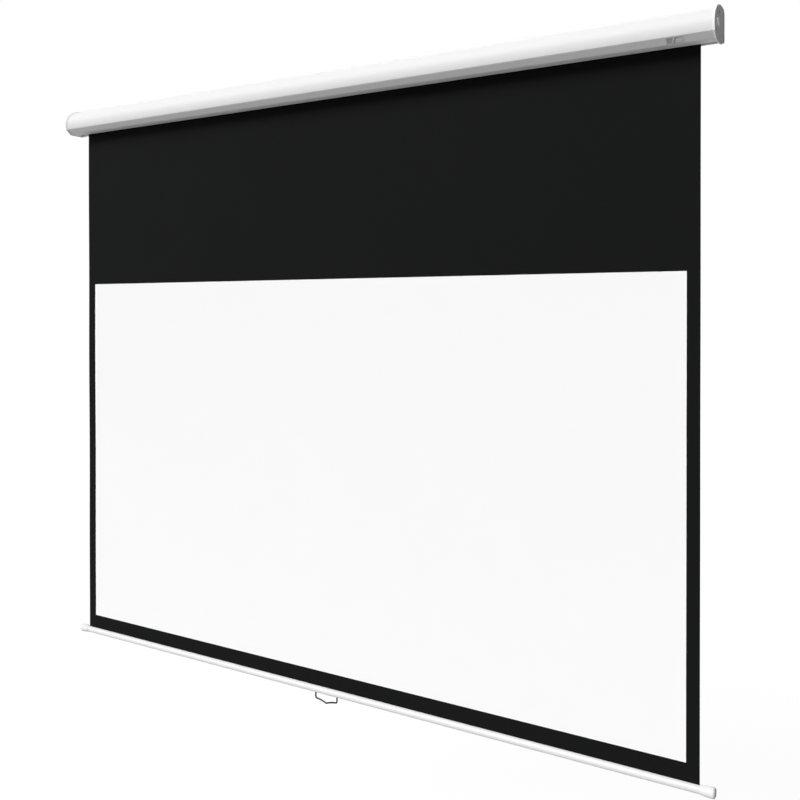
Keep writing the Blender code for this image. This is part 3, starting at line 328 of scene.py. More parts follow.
def skin(rings):
    """Rings of equally many points, each joined to the next, with both ends closed."""
    bm = bmesh.new()
    rows = [[bm.verts.new(point) for point in ring] for ring in rings]
    count = len(rows[0])
    for low, high in zip(rows, rows[1:]):
        for i in range(count):
            j = (i + 1) % count
            bm.faces.new((low[i], low[j], high[j], high[i]))
    bm.faces.new(rows[0])
    bm.faces.new(rows[-1])
    return bm


def prism(name, outline, x_low, x_high, material=None):
    """A closed (y, z) outline drawn along X."""
    rings = [[(x, y, z) for y, z in outline] for x in (x_low, x_high)]
    return new_object(name, skin(rings), material)


def turned(name, profile, place, direction, material=None, steps=48):
    """A (radius, height) profile, from the axis and back to it, turned about a direction through a place."""
    bm = bmesh.new()
    tilt = Vector(direction).to_track_quat("Z", "Y").to_matrix().to_4x4()
    placed = Matrix.Translation(place) @ tilt
    rows = []
    for radius, height in profile:
        if radius < ON_AXIS:
            rows.append([bm.verts.new(placed @ Vector((0, 0, height)))])
            continue
        angles = [2 * math.pi * i / steps for i in range(steps)]
        points = [Vector((radius * math.cos(a), radius * math.sin(a), height)) for a in angles]
        rows.append([bm.verts.new(placed @ point) for point in points])
    for low, high in zip(rows, rows[1:]):
        for i in range(steps):
            j = (i + 1) % steps
            if len(low) == 1:
                bm.faces.new((low[0], high[j], high[i]))
            elif len(high) == 1:
                bm.faces.new((low[i], low[j], high[0]))
            else:
                bm.faces.new((low[i], low[j], high[j], high[i]))
    return new_object(name, bm, material)


def box(name, low, high):
    bm = bmesh.new()
    bmesh.ops.create_cube(bm, size=1.0)
    bmesh.ops.scale(bm, vec=Vector(high) - Vector(low), verts=bm.verts)
    bmesh.ops.translate(bm, vec=(Vector(high) + Vector(low)) / 2, verts=bm.verts)
    return new_object(name, bm, None, None)


def rod(name, start, end, radius, steps=32):
    start, end = Vector(start), Vector(end)
    length = (end - start).length
    profile = [(0, 0), (radius, 0), (radius, length), (0, length)]
    return turned(name, profile, start, end - start, steps=steps)


def carve(obj, cutters, operation="DIFFERENCE", smooth_angle=SMOOTH):
    """Cut or join other meshes, and keep the result as the object's own mesh."""
    group = bpy.data.collections.new("carve")
    for cutter in cutters:
        for owner in list(cutter.users_collection):
            owner.objects.unlink(cutter)
        group.objects.link(cutter)
    modifier = obj.modifiers.new("Carve", "BOOLEAN")
    modifier.operation = operation
    modifier.solver = "EXACT"
    modifier.operand_type = "COLLECTION"
    modifier.collection = group
    bake(obj)
    for cutter in list(group.objects):
        bpy.data.objects.remove(cutter, do_unlink=True)
    bpy.data.collections.remove(group)
    smooth(obj, smooth_angle)


def bake(obj):
    """The object's modifiers applied to its mesh."""
    bpy.context.view_layer.update()
    depsgraph = bpy.context.evaluated_depsgraph_get()
    mesh = bpy.data.meshes.new_from_object(obj.evaluated_get(depsgraph))
    old = obj.data
    obj.modifiers.clear()
    obj.data = mesh
    bpy.data.meshes.remove(old)


def add(obj, body, slot, *replaced):
    """Put a finished piece on its body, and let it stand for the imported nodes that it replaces."""
    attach(obj, body)
    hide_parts(*replaced)


# Materials, all from nodes
NOISE_LOW, NOISE_HIGH = 0.3, 0.7


def new_material(name, colour, roughness, metallic=0.0, specular=0.5):
    material = bpy.data.materials.new(name)
    material.use_nodes = True
    material.diffuse_color = (*colour, 1.0)
    shader = material.node_tree.nodes["Principled BSDF"]
    shader.inputs["Base Color"].default_value = (*colour, 1.0)
    shader.inputs["Roughness"].default_value = roughness
    shader.inputs["Metallic"].default_value = metallic
    shader.inputs["Specular IOR Level"].default_value = specular
    return material


def node(material, kind, **values):
    made = material.node_tree.nodes.new(kind)
    for key, value in values.items():
        setattr(made, key, value)
    return made


def link(material, output, target):
    material.node_tree.links.new(output, target)


def shader_input(material, name):
    return material.node_tree.nodes["Principled BSDF"].inputs[name]


def noise(material, size, stretch=(1, 1, 1), detail=2.0):
    """A noise of about that feature size in metres, stretched along some axes."""
    coords = node(material, "ShaderNodeTexCoord")
    mapping = node(material, "ShaderNodeMapping")
    mapping.inputs["Scale"].default_value = tuple(1 / (size * s) for s in stretch)
    texture = node(material, "ShaderNodeTexNoise")
    texture.inputs["Scale"].default_value = 1.0
    texture.inputs["Detail"].default_value = detail
    link(material, coords.outputs["Object"], mapping.inputs["Vector"])
    link(material, mapping.outputs["Vector"], texture.inputs["Vector"])
    return texture.outputs["Fac"]


def spread(material, factor, low, high):
    """The middle of a noise's range, spread from one value to another."""
    mapped = node(material, "ShaderNodeMapRange")
    mapped.inputs["From Min"].default_value = NOISE_LOW
    mapped.inputs["From Max"].default_value = NOISE_HIGH
    mapped.inputs["To Min"].default_value = low
    mapped.inputs["To Max"].default_value = high
    link(material, factor, mapped.inputs["Value"])
    return mapped.outputs["Result"]


def blend_colours(material, factor, first, second):
    """A mix of two colours, each given as a tuple or as an output: the colour sockets are 6, 7 and 2."""
    mixed = node(material, "ShaderNodeMix", data_type="RGBA")
    link(material, factor, mixed.inputs["Factor"])
    for socket, colour in ((mixed.inputs[6], first), (mixed.inputs[7], second)):
        if isinstance(colour, tuple):
            socket.default_value = (*colour, 1.0)
        else:
            link(material, colour, socket)
    return mixed.outputs[2]


def bump(material, height, depth):
    made = node(material, "ShaderNodeBump")
    made.inputs["Distance"].default_value = depth
    made.inputs["Strength"].default_value = 1.0
    link(material, height, made.inputs["Height"])
    return made.outputs["Normal"]


def surface(
    name, colour, shade, rough, grain, depth, metallic=0.0, specular=0.5, stretch=(1, 1, 1), cloud=0.12
):
    """A finish with a slow change of shade, a roughness that wanders, and a fine relief.

    shade is the share by which the colour darkens, rough is the range of roughness, cloud and grain are the
    sizes of the slow and the fine pattern in metres, and depth is the relief's height in metres.
    """
    middle = tuple(c * (1 - shade / 2) for c in colour)
    material = new_material(name, middle, sum(rough) / 2, metallic, specular)
    dark = tuple(c * (1 - shade) for c in colour)
    slow = noise(material, cloud, stretch)
    tinted = blend_colours(material, spread(material, slow, 0, 1), dark, colour)
    link(material, tinted, shader_input(material, "Base Color"))
    fine = noise(material, grain, stretch, detail=3.0)
    link(material, spread(material, slow, *rough), shader_input(material, "Roughness"))
    link(material, bump(material, fine, depth), shader_input(material, "Normal"))
    return material


PAINT = surface("white_powder_coat", (0.76, 0.76, 0.76), 0.015, (0.52, 0.6), 0.0016, 0.00003, specular=0.25)
BAR_PAINT = surface(
    "white_painted_extrusion", (0.74, 0.74, 0.74), 0.02, (0.34, 0.42), 0.0011, 0.00002, stretch=(30, 1, 1)
)
CAP_PLASTIC = surface(
    "moulded_white_plastic", (0.69, 0.69, 0.685), 0.02, (0.58, 0.66), 0.0007, 0.00003, specular=0.06
)
# A lighter copy of the cap plastic for the caps' shoulders: painted light that keeps the shoulder bright
# where it would fall into shade
SKIRT_LIT_PLASTIC = surface(
    "cap_plastic_painted_light", (0.85, 0.85, 0.845), 0.02, (0.58, 0.66), 0.0007, 0.00003, specular=0.06
)
CAP_GLOSS = surface(
    "polished_white_plastic", (0.70, 0.70, 0.695), 0.02, (0.3, 0.38), 0.0007, 0.00001, specular=0.4
)
# A darker copy of the selector's plastic for the carrier behind the window: painted shade in the recess
RECESS_SHADE_PLASTIC = surface(
    "recess_painted_shade_plastic", (0.50, 0.50, 0.495), 0.04, (0.55, 0.63), 0.0007, 0.00003, specular=0.1
)
BAR_PLASTIC = surface(
    "moulded_bright_plastic", (0.79, 0.79, 0.785), 0.02, (0.5, 0.58), 0.0007, 0.00003, specular=0.1
)
ZINC = surface(
    "zinc_plated_steel", (0.60, 0.61, 0.63), 0.18, (0.26, 0.4), 0.0009, 0.00002, metallic=1.0, cloud=0.012
)
DULL_ZINC = surface(
    "dulled_zinc_steel", (0.27, 0.27, 0.275), 0.15, (0.5, 0.6), 0.0009, 0.00002, metallic=1.0, cloud=0.012
)
SPRING = surface(
    "oiled_spring_steel", (0.26, 0.26, 0.28), 0.25, (0.3, 0.42), 0.0006, 0.00002, metallic=1.0, cloud=0.02
)
WIRE = surface(
    "black_plated_wire", (0.028, 0.028, 0.03), 0.2, (0.2, 0.32), 0.0008, 0.00001, metallic=1.0, cloud=0.015
)
BLACK_PLASTIC = surface(
    "black_moulded_plastic", (0.032, 0.032, 0.033), 0.2, (0.42, 0.55), 0.0006, 0.00004, cloud=0.02
)
NYLON = surface("natural_nylon", (0.76, 0.73, 0.66), 0.06, (0.4, 0.5), 0.0008, 0.00002, cloud=0.01)


def weave(material, pitch, depth):
    """The fine plain weave that shows through a coated cloth."""
    coords = node(material, "ShaderNodeTexCoord")
    parts = node(material, "ShaderNodeSeparateXYZ")
    link(material, coords.outputs["Object"], parts.inputs["Vector"])
    threads = []
    for axis in ("X", "Z"):
        scaled = node(material, "ShaderNodeMath", operation="MULTIPLY")
        scaled.inputs[1].default_value = 2 * math.pi / pitch
        link(material, parts.outputs[axis], scaled.inputs[0])
        wave = node(material, "ShaderNodeMath", operation="SINE")
        link(material, scaled.outputs["Value"], wave.inputs[0])
        threads.append(wave.outputs["Value"])
    crossed = node(material, "ShaderNodeMath", operation="MULTIPLY")
    link(material, threads[0], crossed.inputs[0])
    link(material, threads[1], crossed.inputs[1])
    return bump(material, crossed.outputs["Value"], depth)


def at_least(material, value, limit):
    """1 where the value is above the limit, and 0 below."""
    made = node(material, "ShaderNodeMath", operation="GREATER_THAN")
    made.inputs[1].default_value = limit
    link(material, value, made.inputs[0])
    return made.outputs["Value"]


def arithmetic(material, operation, first, second):
    made = node(material, "ShaderNodeMath", operation=operation)
    for socket, value in zip(made.inputs, (first, second)):
        if isinstance(value, (int, float)):
            socket.default_value = value
        else:
            link(material, value, socket)
    return made.outputs["Value"]


BLACK_CLOTH = (0.0068, 0.0070, 0.0071)
LIFTED_CLOTH = tuple(c * 1.12 for c in BLACK_CLOTH)
WHITE_CLOTH = (0.90, 0.90, 0.90)
DULLED_CLOTH = tuple(c * 0.995 for c in WHITE_CLOTH)
WEAVE_PITCH = 0.0011
WEAVE_DEPTH = 0.00002
LEAST_DROP = 0.0001


def black_cloth():
    material = new_material("black_coated_cloth", BLACK_CLOTH, 0.8, specular=0.05)
    slow = noise(material, 0.09)
    tinted = blend_colours(material, spread(material, slow, 0, 1), BLACK_CLOTH, LIFTED_CLOTH)
    link(material, tinted, shader_input(material, "Base Color"))
    link(material, spread(material, slow, 0.76, 0.84), shader_input(material, "Roughness"))
    link(material, weave(material, WEAVE_PITCH, WEAVE_DEPTH), shader_input(material, "Normal"))
    return material


def front_cloth():
    """Black, with the matte white area where the cloth carries it, told from the distance to its lower edge.

    The attribute keeps each point's height on the cut cloth, so the area rolls up as the bar rises.
    """
    material = new_material("screen_surface", WHITE_CLOTH, 0.85, specular=0.05)
    coords = node(material, "ShaderNodeTexCoord")
    parts = node(material, "ShaderNodeSeparateXYZ")
    link(material, coords.outputs["Object"], parts.inputs["Vector"])
    cut = node(material, "ShaderNodeAttribute", attribute_name="cloth_height")
    hung = arithmetic(material, "SUBTRACT", FABRIC_TOP, parts.outputs["Z"])
    whole = arithmetic(material, "SUBTRACT", FABRIC_TOP, cut.outputs["Fac"])
    share = arithmetic(material, "DIVIDE", hung, arithmetic(material, "MAXIMUM", whole, LEAST_DROP))
    length = arithmetic(material, "MULTIPLY", share, FABRIC_LENGTH)
    above_hem = arithmetic(material, "SUBTRACT", length, hung)
    inside = arithmetic(
        material,
        "MULTIPLY",
        at_least(material, above_hem, VIEW_BOTTOM - FABRIC_BOTTOM),
        arithmetic(material, "LESS_THAN", above_hem, VIEW_TOP - FABRIC_BOTTOM),
    )
    across = arithmetic(material, "ABSOLUTE", parts.outputs["X"], 0)
    inside = arithmetic(material, "MULTIPLY", inside, arithmetic(material, "LESS_THAN", across, VIEW_HALF))
    slow = noise(material, 0.15)
    white = blend_colours(material, spread(material, slow, 0, 1), DULLED_CLOTH, WHITE_CLOTH)
    black = blend_colours(material, spread(material, slow, 0, 1), BLACK_CLOTH, LIFTED_CLOTH)
    link(material, blend_colours(material, inside, black, white), shader_input(material, "Base Color"))
    link(material, spread(material, slow, 0.8, 0.88), shader_input(material, "Roughness"))
    link(material, weave(material, WEAVE_PITCH, WEAVE_DEPTH), shader_input(material, "Normal"))
    return material


CLOTH_BACK = black_cloth()
CLOTH_FRONT = front_cloth()


# The casing
def section_ring(x, distance):
    """A cap's ring at a place along X: the casing's section grown by a distance, with its bends rounded."""
    points = offset(OUTLINE, distance)
    radii = {point: max(TIGHTEST_BEND, CAP_BEND + distance) for point in points[-4:]}
    radii[points[-3]] = BELLY_BEND + distance
    return [(x, y, z) for y, z in rounded(points, radii, closed=True)]


def offset_right(points, distance):
    """An open polyline moved to the right of its way, with sharp corners."""
    result = []
    for i, here in enumerate(points):
        here = Vector(here)
        normals = []
        for low, high in ((i - 1, i), (i, i + 1)):
            if low >= 0 and high < len(points):
                way = (Vector(points[high]) - Vector(points[low])).normalized()
                normals.append(Vector((way.y, -way.x)))
        middle = sum(normals, Vector((0, 0))).normalized()
        result.append(tuple(here + middle * distance / middle.dot(normals[0])))
    return result


SLOPE = (Vector(BELLY_FRONT) - Vector(FRONT_CORNER)).normalized()
SLOPE_FRAME = Matrix(
    (
        (1, 0, 0, 0),
        (0, SLOPE.x, -SLOPE.y, FRONT_CORNER[0]),
        (0, SLOPE.y, SLOPE.x, FRONT_CORNER[1]),
        (0, 0, 0, 1),
    )
)


def slope_plate(name, outline, depth_low, depth_high, material=None, edge=0.0):
    """A plate parallel to the sloped lower front, from (along X, down the slope) points."""
    bm = skin([[SLOPE_FRAME @ Vector((x, s, d)) for x, s in outline] for d in (depth_low, depth_high)])
    if edge:
        bmesh.ops.recalc_face_normals(bm, faces=bm.faces)
        bmesh.ops.bevel(bm, geom=list(bm.edges), offset=edge, segments=3, profile=0.5, affect="EDGES")
    return new_object(name, bm, material)


def make_casing():
    path = [(SLOT_FRONT[0], SLOT_FRONT[1] + LIP_HEIGHT), SLOT_FRONT, BELLY_FRONT]
    path += reversed(OUTLINE[:-3])
    path += [BACK_LOW, BELLY_BACK, (BELLY_BACK[0], BELLY_BACK[1] + LIP_HEIGHT)]
    inner = offset_right(path, CASING_WALL)
    bends = (SLOT_FRONT, BELLY_FRONT, FRONT_CORNER, BACK_LOW, BELLY_BACK)
    places = [min(range(len(path)), key=lambda i: (Vector(path[i]) - Vector(b)).length) for b in bends]
    wide = {BELLY_FRONT: BELLY_BEND, SLOT_FRONT: SLOT_BEND}
    bend = {i: wide.get(path[i], BEND) for i in places}
    outer = rounded(path, {path[i]: radius for i, radius in bend.items()})
    inside = rounded(inner, {inner[i]: radius - CASING_WALL for i, radius in bend.items()})
    casing = prism("casing_sheet", outer + inside[::-1], -CASING_HALF, CASING_HALF, PAINT)
    (x_low, top), (x_high, bottom) = WINDOW
    window = []
    for centre, start in (
        ((x_low + WINDOW_CORNER, top + WINDOW_CORNER), 180),
        ((x_high - WINDOW_CORNER, top + WINDOW_CORNER), 270),
        ((x_high - WINDOW_CORNER, bottom - WINDOW_CORNER), 0),
        ((x_low + WINDOW_CORNER, bottom - WINDOW_CORNER), 90),
    ):
        window += arc(centre, WINDOW_CORNER, start, start + 90, 4)
    cutters = [slope_plate("cut_window", window, -CASING_WALL, 3 * CASING_WALL)]
    for side in (LEFT, RIGHT):
        for number, x in enumerate((BACK_SCREW_X,) + HANGER_RIVETS):
            radius = RIVET_HOLE if number else SCREW_HOLE
            start, end = (side * x, -BACK_REACH, 0), (side * x, PAST, 0)
            cutters.append(rod(f"cut_{side}_{number}", start, end, radius))
        (room_left, room_low), (room_right, room_high) = SCREW_ROOM
        low = (side * HANGER_X + room_left, -BACK_REACH, room_low)
        high = (side * HANGER_X + room_right, PAST, room_high)
        cutters.append(box(f"cut_screw_room_{side}", low, high))
    carve(casing, cutters)
    add(casing, "root", "casing_paint", "casing")


def make_end_cap(side):
    """A moulded cap: shoulder, rounded rim, recessed panel with a dish, and the spigot inside the casing."""
    rings = []

    def at(x, distance):
        rings.append(section_ring(side * x, distance))

    spigot_end = CASING_HALF - SPIGOT_LENGTH
    at(spigot_end, -SPIGOT_INNER)
    at(spigot_end, -SPIGOT_OUTER - RIM_EDGE)
    at(spigot_end + RIM_EDGE, -SPIGOT_OUTER)
    at(CAP_INNER, -SPIGOT_OUTER)
    shoulder_start = len(rings)
    for i in range(SHOULDER_STEPS + 1):
        share = i / SHOULDER_STEPS
        fall = SWELL_RISE * (1 - share * (SHOULDER_SLOPE - SHOULDER_EASE * share))
        at(CAP_INNER + SWELL_LENGTH * share, CAP_PROUD - fall)
    shoulder_end = len(rings) - 1
    for i in range(1, RIM_STEPS + 1):
        turn = math.radians(90 * i / RIM_STEPS)
        out = CAP_PROUD - CAP_EDGE + CAP_EDGE * math.cos(turn)
        at(CAP_OUTER - CAP_EDGE + CAP_EDGE * math.sin(turn), out)
    inner = CAP_PROUD - CAP_RIM
    for i in range(PANEL_STEPS + 1):
        turn = math.radians(90 * i / PANEL_STEPS)
        at(CAP_OUTER - RIM_EDGE + RIM_EDGE * math.cos(turn), inner + RIM_EDGE - RIM_EDGE * math.sin(turn))
    panel_x = CAP_OUTER - CAP_RECESS
    at(panel_x + PANEL_EDGE, inner)
    at(panel_x, inner - PANEL_EDGE)
    cap = new_object(f"end_cap_{SIDES[side]}_moulding", skin(rings), CAP_PLASTIC, None)
    cap.data.materials.append(CAP_GLOSS)
    cap.data.materials.append(SKIRT_LIT_PLASTIC)
    around = len(rings[0])
    # The shoulder's faces take the lighter copy of the cap plastic: painted light
    for polygon in cap.data.polygons[shoulder_start * around:shoulder_end * around]:
        polygon.material_index = THIRD_MATERIAL
    cutters = [cap_dish(side, panel_x)]
    for y, z in FACE_SCREWS:
        start, end = (side * (CAP_INNER - PAST), y, z), (side * (CAP_OUTER + PAST), y, z)
        cutters.append(rod(f"cut_screw_{side}", start, end, SCREW_HOLE))
    screw_x = side * BACK_SCREW_X
    cutters.append(rod(f"cut_back_{side}", (screw_x, -SPIGOT_REACH, 0), (screw_x, PAST, 0), SCREW_HOLE))
    slot_side = CASING_WALL + FIT_GAP + SLOT_ROOM
    x_low, x_high = sorted((side * (spigot_end - PAST), side * CAP_INNER))
    low = (x_low, SLOT_FRONT[0] - slot_side, BELLY_BACK[1] - PAST)
    high = (x_high, BELLY_BACK[0] + slot_side, BELLY_BACK[1] + LIP_HEIGHT + PAST)
    cutters.append(box(f"cut_slot_{side}", low, high))
    hollow = [(y, z) for x, y, z in section_ring(0, -SPIGOT_INNER)]
    cutters.append(prism(f"cut_hollow_{side}", hollow, x_low, x_high))
    carve(cap, cutters, smooth_angle=CAP_SMOOTH)
    add(cap, "root", "cap_plastic", f"end_cap_{SIDES[side]}")


def cap_dish(side, panel_x):
    """The cutter of the shallow oval dish in a cap's panel, with a broken edge."""
    depth = DISH_DEPTH - DISH_LIP_DEPTH
    profile = [(0, PAST), (DISH_RADIUS + DISH_FLARE, PAST), (DISH_RADIUS + DISH_LIP, 0)]
    profile.append((DISH_RADIUS, -DISH_LIP_DEPTH))
    for angle in range(10, 90, 10):
        turn = math.radians(angle)
        profile.append((DISH_RADIUS * math.cos(turn), -DISH_LIP_DEPTH - depth * math.sin(turn)))
    profile.append((0, -DISH_DEPTH))
    dish = turned(f"cut_dish_{side}", profile, (side * panel_x, *DISH_PLACE), (side, 0, 0), steps=64)
    for polygon in dish.data.polygons:
        polygon.material_index = SECOND_MATERIAL
    for vertex in dish.data.vertices:
        vertex.co.z = DISH_PLACE[1] + (vertex.co.z - DISH_PLACE[1]) * DISH_SQUASH
    return dish


# The lock selector
def make_selector():
    """The slide: a thumb plate and a slanted rib on a carrier behind the window, and the cam arm."""
    root = CARRIER_DEPTH + SELECTOR_ROOT
    groove = SELECTOR_LEFT + THUMB_GROOVE
    thumb = [(groove, SELECTOR_BOTTOM)]
    thumb += [(groove + x, s) for x, s in THUMB_CURVE]
    thumb += [(SELECTOR_RIGHT, THUMB_CORNER), (SELECTOR_RIGHT, SELECTOR_BOTTOM)]
    slide = slope_plate("selector_slide_moulding", thumb, -THUMB_PROUD, root, CAP_PLASTIC, THUMB_EDGE)
    slide.data.materials.append(RECESS_SHADE_PLASTIC)
    foot = SELECTOR_LEFT + RIB_FOOT
    head = SELECTOR_LEFT + RIB_HEAD
    foot_s = SELECTOR_BOTTOM - RIB_EDGE
    rib = [(foot, foot_s), (head, RIB_TOP), (head + RIB_WIDTH, RIB_TOP), (foot + RIB_WIDTH, foot_s)]
    others = [slope_plate("join_rib", rib, -RIB_PROUD, root, None, RIB_EDGE)]
    (x_low, top), (x_high, bottom) = CARRIER
    carrier = [(x_low, top), (x_high, top), (x_high, bottom), (x_low, bottom)]
    others.append(slope_plate("join_carrier", carrier, CARRIER_DEPTH, CARRIER_DEPTH + CARRIER_THICKNESS))
    # The carrier takes the darker copy of the plastic, which paints the shade inside the window's recess
    for polygon in others[-1].data.polygons:
        polygon.material_index = SECOND_MATERIAL
    back = CARRIER_DEPTH + ARM_BACK
    cam = back - ARM_CAM_DROP
    side_view = [(ARM_START, CARRIER_DEPTH), (ARM_END, CARRIER_DEPTH), (ARM_END, cam), (ARM_CAM, cam)]
    side_view += [(ARM_RAMP, back), (ARM_START, back)]
    arm = skin([[SLOPE_FRAME @ Vector((x, s, d)) for x, d in side_view] for s in ARM_SIDES])
    others.append(new_object("join_arm", arm, None))
    carve(slide, others, "UNION")
    add(slide, "selector", "cap_plastic", "selector_slide")


# The fabric
def cloth_wave(x, z):
    """How far the hanging cloth stands off its plane: mostly near its free side edges."""
    if not FABRIC_BOTTOM < z < FABRIC_TOP:
        return 0
    ends = math.sin(math.pi * (z - FABRIC_BOTTOM) / FABRIC_LENGTH) ** 0.5
    edge = (abs(x) / FABRIC_HALF) ** 6
    start = RIGHT_SHIFT if x > 0 else 0
    near_edge = CLOTH_EDGE_WAVE * edge * math.sin(z * EDGE_TURN + start)
    return ends * (near_edge + CLOTH_WAVE * math.sin(x * ACROSS_TURN + z * DOWN_TURN))


def make_fabric():
    """One sheet of coated cloth with a slight natural waviness towards its free side edges."""
    columns, rows = 72, 60
    xs = [-FABRIC_HALF + 2 * FABRIC_HALF * i / columns for i in range(columns + 1)]
    zs = [FABRIC_BOTTOM + FABRIC_LENGTH * i / rows for i in range(rows + 1)]
    bm = bmesh.new()
    height = bm.verts.layers.float.new("cloth_height")
    sheets = []
    for shift in (-FABRIC_THICKNESS / 2, FABRIC_THICKNESS / 2):
        grid = []
        for z in zs:
            row = [bm.verts.new((x, FABRIC_Y + shift + cloth_wave(x, z), z)) for x in xs]
            for vert in row:
                vert[height] = z
            grid.append(row)
        sheets.append(grid)
    front, back = sheets

    def face(corners, index):
        bm.faces.new(corners).material_index = index

    for r in range(rows):
        for c in range(columns):
            face((front[r][c], front[r][c + 1], front[r + 1][c + 1], front[r + 1][c]), 0)
            face((back[r][c], back[r + 1][c], back[r + 1][c + 1], back[r][c + 1]), 1)
    for r in range(rows):
        for c in (0, columns):
            face((front[r][c], back[r][c], back[r + 1][c], front[r + 1][c]), 1)
    for c in range(columns):
        for r in (0, rows):
            face((front[r][c], back[r][c], back[r][c + 1], front[r][c + 1]), 1)
    fabric = new_object("screen_cloth", bm, CLOTH_FRONT, CLOTH_SMOOTH)
    fabric.data.materials.append(CLOTH_BACK)
    add(fabric, "root", "fabric_black", "screen_fabric")
    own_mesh(fabric)


# The weight bar, its caps and the handle
def make_bar():
    mouth = CHANNEL_MOUTH / 2
    outer_angle = math.degrees(math.asin(mouth / BAR_RADIUS))
    inner_angle = math.degrees(math.asin(mouth / KEDER_CHANNEL))
    outline = arc((FABRIC_Y, BAR_Z), BAR_RADIUS, 90 + outer_angle, 450 - outer_angle, 96)
    outline += arc((FABRIC_Y, BAR_Z + KEDER_RISE), KEDER_CHANNEL, 90 - inner_angle, -270 + inner_angle, 24)
    bar = prism("weight_bar_extrusion", outline, -BAR_HALF, BAR_HALF, BAR_PAINT)
    bore_z = BAR_Z - ROD_BORE_DROP
    start, end = (-BAR_HALF - END_REACH, FABRIC_Y, bore_z), (BAR_HALF + END_REACH, FABRIC_Y, bore_z)
    cutters = [rod("cut_bore", start, end, ROD_BORE, 40)]
    for side in (LEFT, RIGHT):
        leg = HANDLE_X + side * HANDLE_SPAN / 2
        xs = sorted((leg + side * (HANDLE_WIRE + 2 * FIT_GAP), leg - side * 2 * HANDLE_WIRE))
        low = (xs[0], FABRIC_Y - LEG_ROOM, BAR_Z - BAR_RADIUS - PAST)
        high = (xs[1], FABRIC_Y + LEG_ROOM, PIVOT_Z - LEG_STOP)
        cutters.append(box(f"cut_leg_{side}", low, high))
    carve(bar, cutters)
    add(bar, "bar", "casing_paint", "weight_bar")


def make_bar_cap(side):
    """A moulded cap on the bar's end, tapered towards the bar and rounded at its outer end."""
    socket = BAR_RADIUS + FIT_GAP
    centre = (BAR_CAP_RADIUS - BAR_CAP_ROUND, BAR_CAP_END - BAR_CAP_ROUND)
    profile = [(0, BAR_CAP_END)] + arc(centre, BAR_CAP_ROUND, 90, 0, 12)
    for i in range(TAPER_STEPS + 1):
        share = i / TAPER_STEPS
        radius = BAR_CAP_RADIUS - BAR_SWELL_RISE * share**BAR_SWELL_POWER
        profile.append((radius, BAR_CAP_START + BAR_SWELL_LENGTH * (1 - share)))
    floor = BAR_CAP_END - BAR_CAP_FLOOR
    profile += [(socket, BAR_CAP_START), (socket, floor), (0, floor)]
    name = f"bar_cap_{SIDES[side]}_moulding"
    cap = turned(name, profile, (0, FABRIC_Y, BAR_Z), (side, 0, 0), BAR_PLASTIC, steps=64)
    add(cap, "bar", "cap_plastic", f"bar_cap_{SIDES[side]}")


def handle_points():
    """The wire's middle line as (x, z) places: two stubs, two legs and a grip that sags to a shallow V."""
    half = HANDLE_SPAN / 2
    points = [(half - HANDLE_BEND - HANDLE_STUB, 0)]
    points += arc((half - HANDLE_BEND, -HANDLE_BEND), HANDLE_BEND, 90, 0, 12)
    lean = math.degrees(math.atan2(HANDLE_SAG, half))
    points += arc((half - HANDLE_CORNER, -HANDLE_DROP + HANDLE_CORNER), HANDLE_CORNER, 0, -90 + lean, 10)
    edge_x, edge_z = points[-1]
    for i in range(1, GRIP_STEPS + 1):
        share = i / GRIP_STEPS
        sag = HANDLE_SAG_STRAIGHT * share + (HANDLE_SAG - HANDLE_SAG_STRAIGHT) * share**2
        points.append((edge_x * (1 - share), edge_z - sag))
    return points + [(-x, z) for x, z in reversed(points[:-1])]


def make_handle():
    curve = bpy.data.curves.new("pull_handle_wire", "CURVE")
    curve.dimensions = "3D"
    curve.bevel_depth = HANDLE_WIRE
    curve.bevel_resolution = 6
    curve.use_fill_caps = True
    spline = curve.splines.new("POLY")
    places = handle_points()
    spline.points.add(len(places) - 1)
    for point, (x, z) in zip(spline.points, places):
        point.co = (HANDLE_X + x, FABRIC_Y, PIVOT_Z + z, 1)
    source = bpy.data.objects.new("handle_source", curve)
    bpy.context.scene.collection.objects.link(source)
    bpy.context.view_layer.update()
    mesh = bpy.data.meshes.new_from_object(source.evaluated_get(bpy.context.evaluated_depsgraph_get()))
    bpy.data.objects.remove(source, do_unlink=True)
    bm = bmesh.new()
    bm.from_mesh(mesh)
    bmesh.ops.remove_doubles(bm, verts=bm.verts, dist=WELD)
    bpy.data.meshes.remove(mesh)
    wire = new_object("pull_handle_wire", bm, WIRE, WIRE_SMOOTH)
    add(wire, "handle", "dark_wire", "pull_handle")


make_casing()
for each_side in (LEFT, RIGHT):
    make_end_cap(each_side)
    make_bar_cap(each_side)
make_selector()
make_fabric()
make_bar()
make_handle()


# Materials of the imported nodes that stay
FINISHES = (
    (("cap_screw",), DULL_ZINC),
    (("roller_bracket", "back_screw", "hanger", "idler_pin", "spring_arbor"), ZINC),
    (("spring_anchor", "roller_tube", "ratchet_wheel", "lock_pawl", "pawl_pin", "weight_rod"), ZINC),
    (("torsion_spring",), SPRING),
    (("idler_plug", "spring_plug", "retract_damper", "fabric_keder"), BLACK_PLASTIC),
    (("idler_bush", "arbor_bush", "arbor_steady", "handle_bush"), NYLON),
    (("wound_fabric",), CLOTH_BACK),
)
for name, packed in frame["nodes"].items():
    for starts, finish in FINISHES:
        if name.startswith(starts):
            packed.data.materials.clear()
            packed.data.materials.append(finish)
            smooth(packed, SMOOTH)


# Floor, light and background
FLOOR_Z = -2.75
FLOOR_HALF = 9.0
FLOOR_TONE = 0.48
FLOOR_GLOW = 0.955
FLOOR_CATCH = 0.07
SKY_LEFT = 0.34
SKY_RIGHT = 0.04


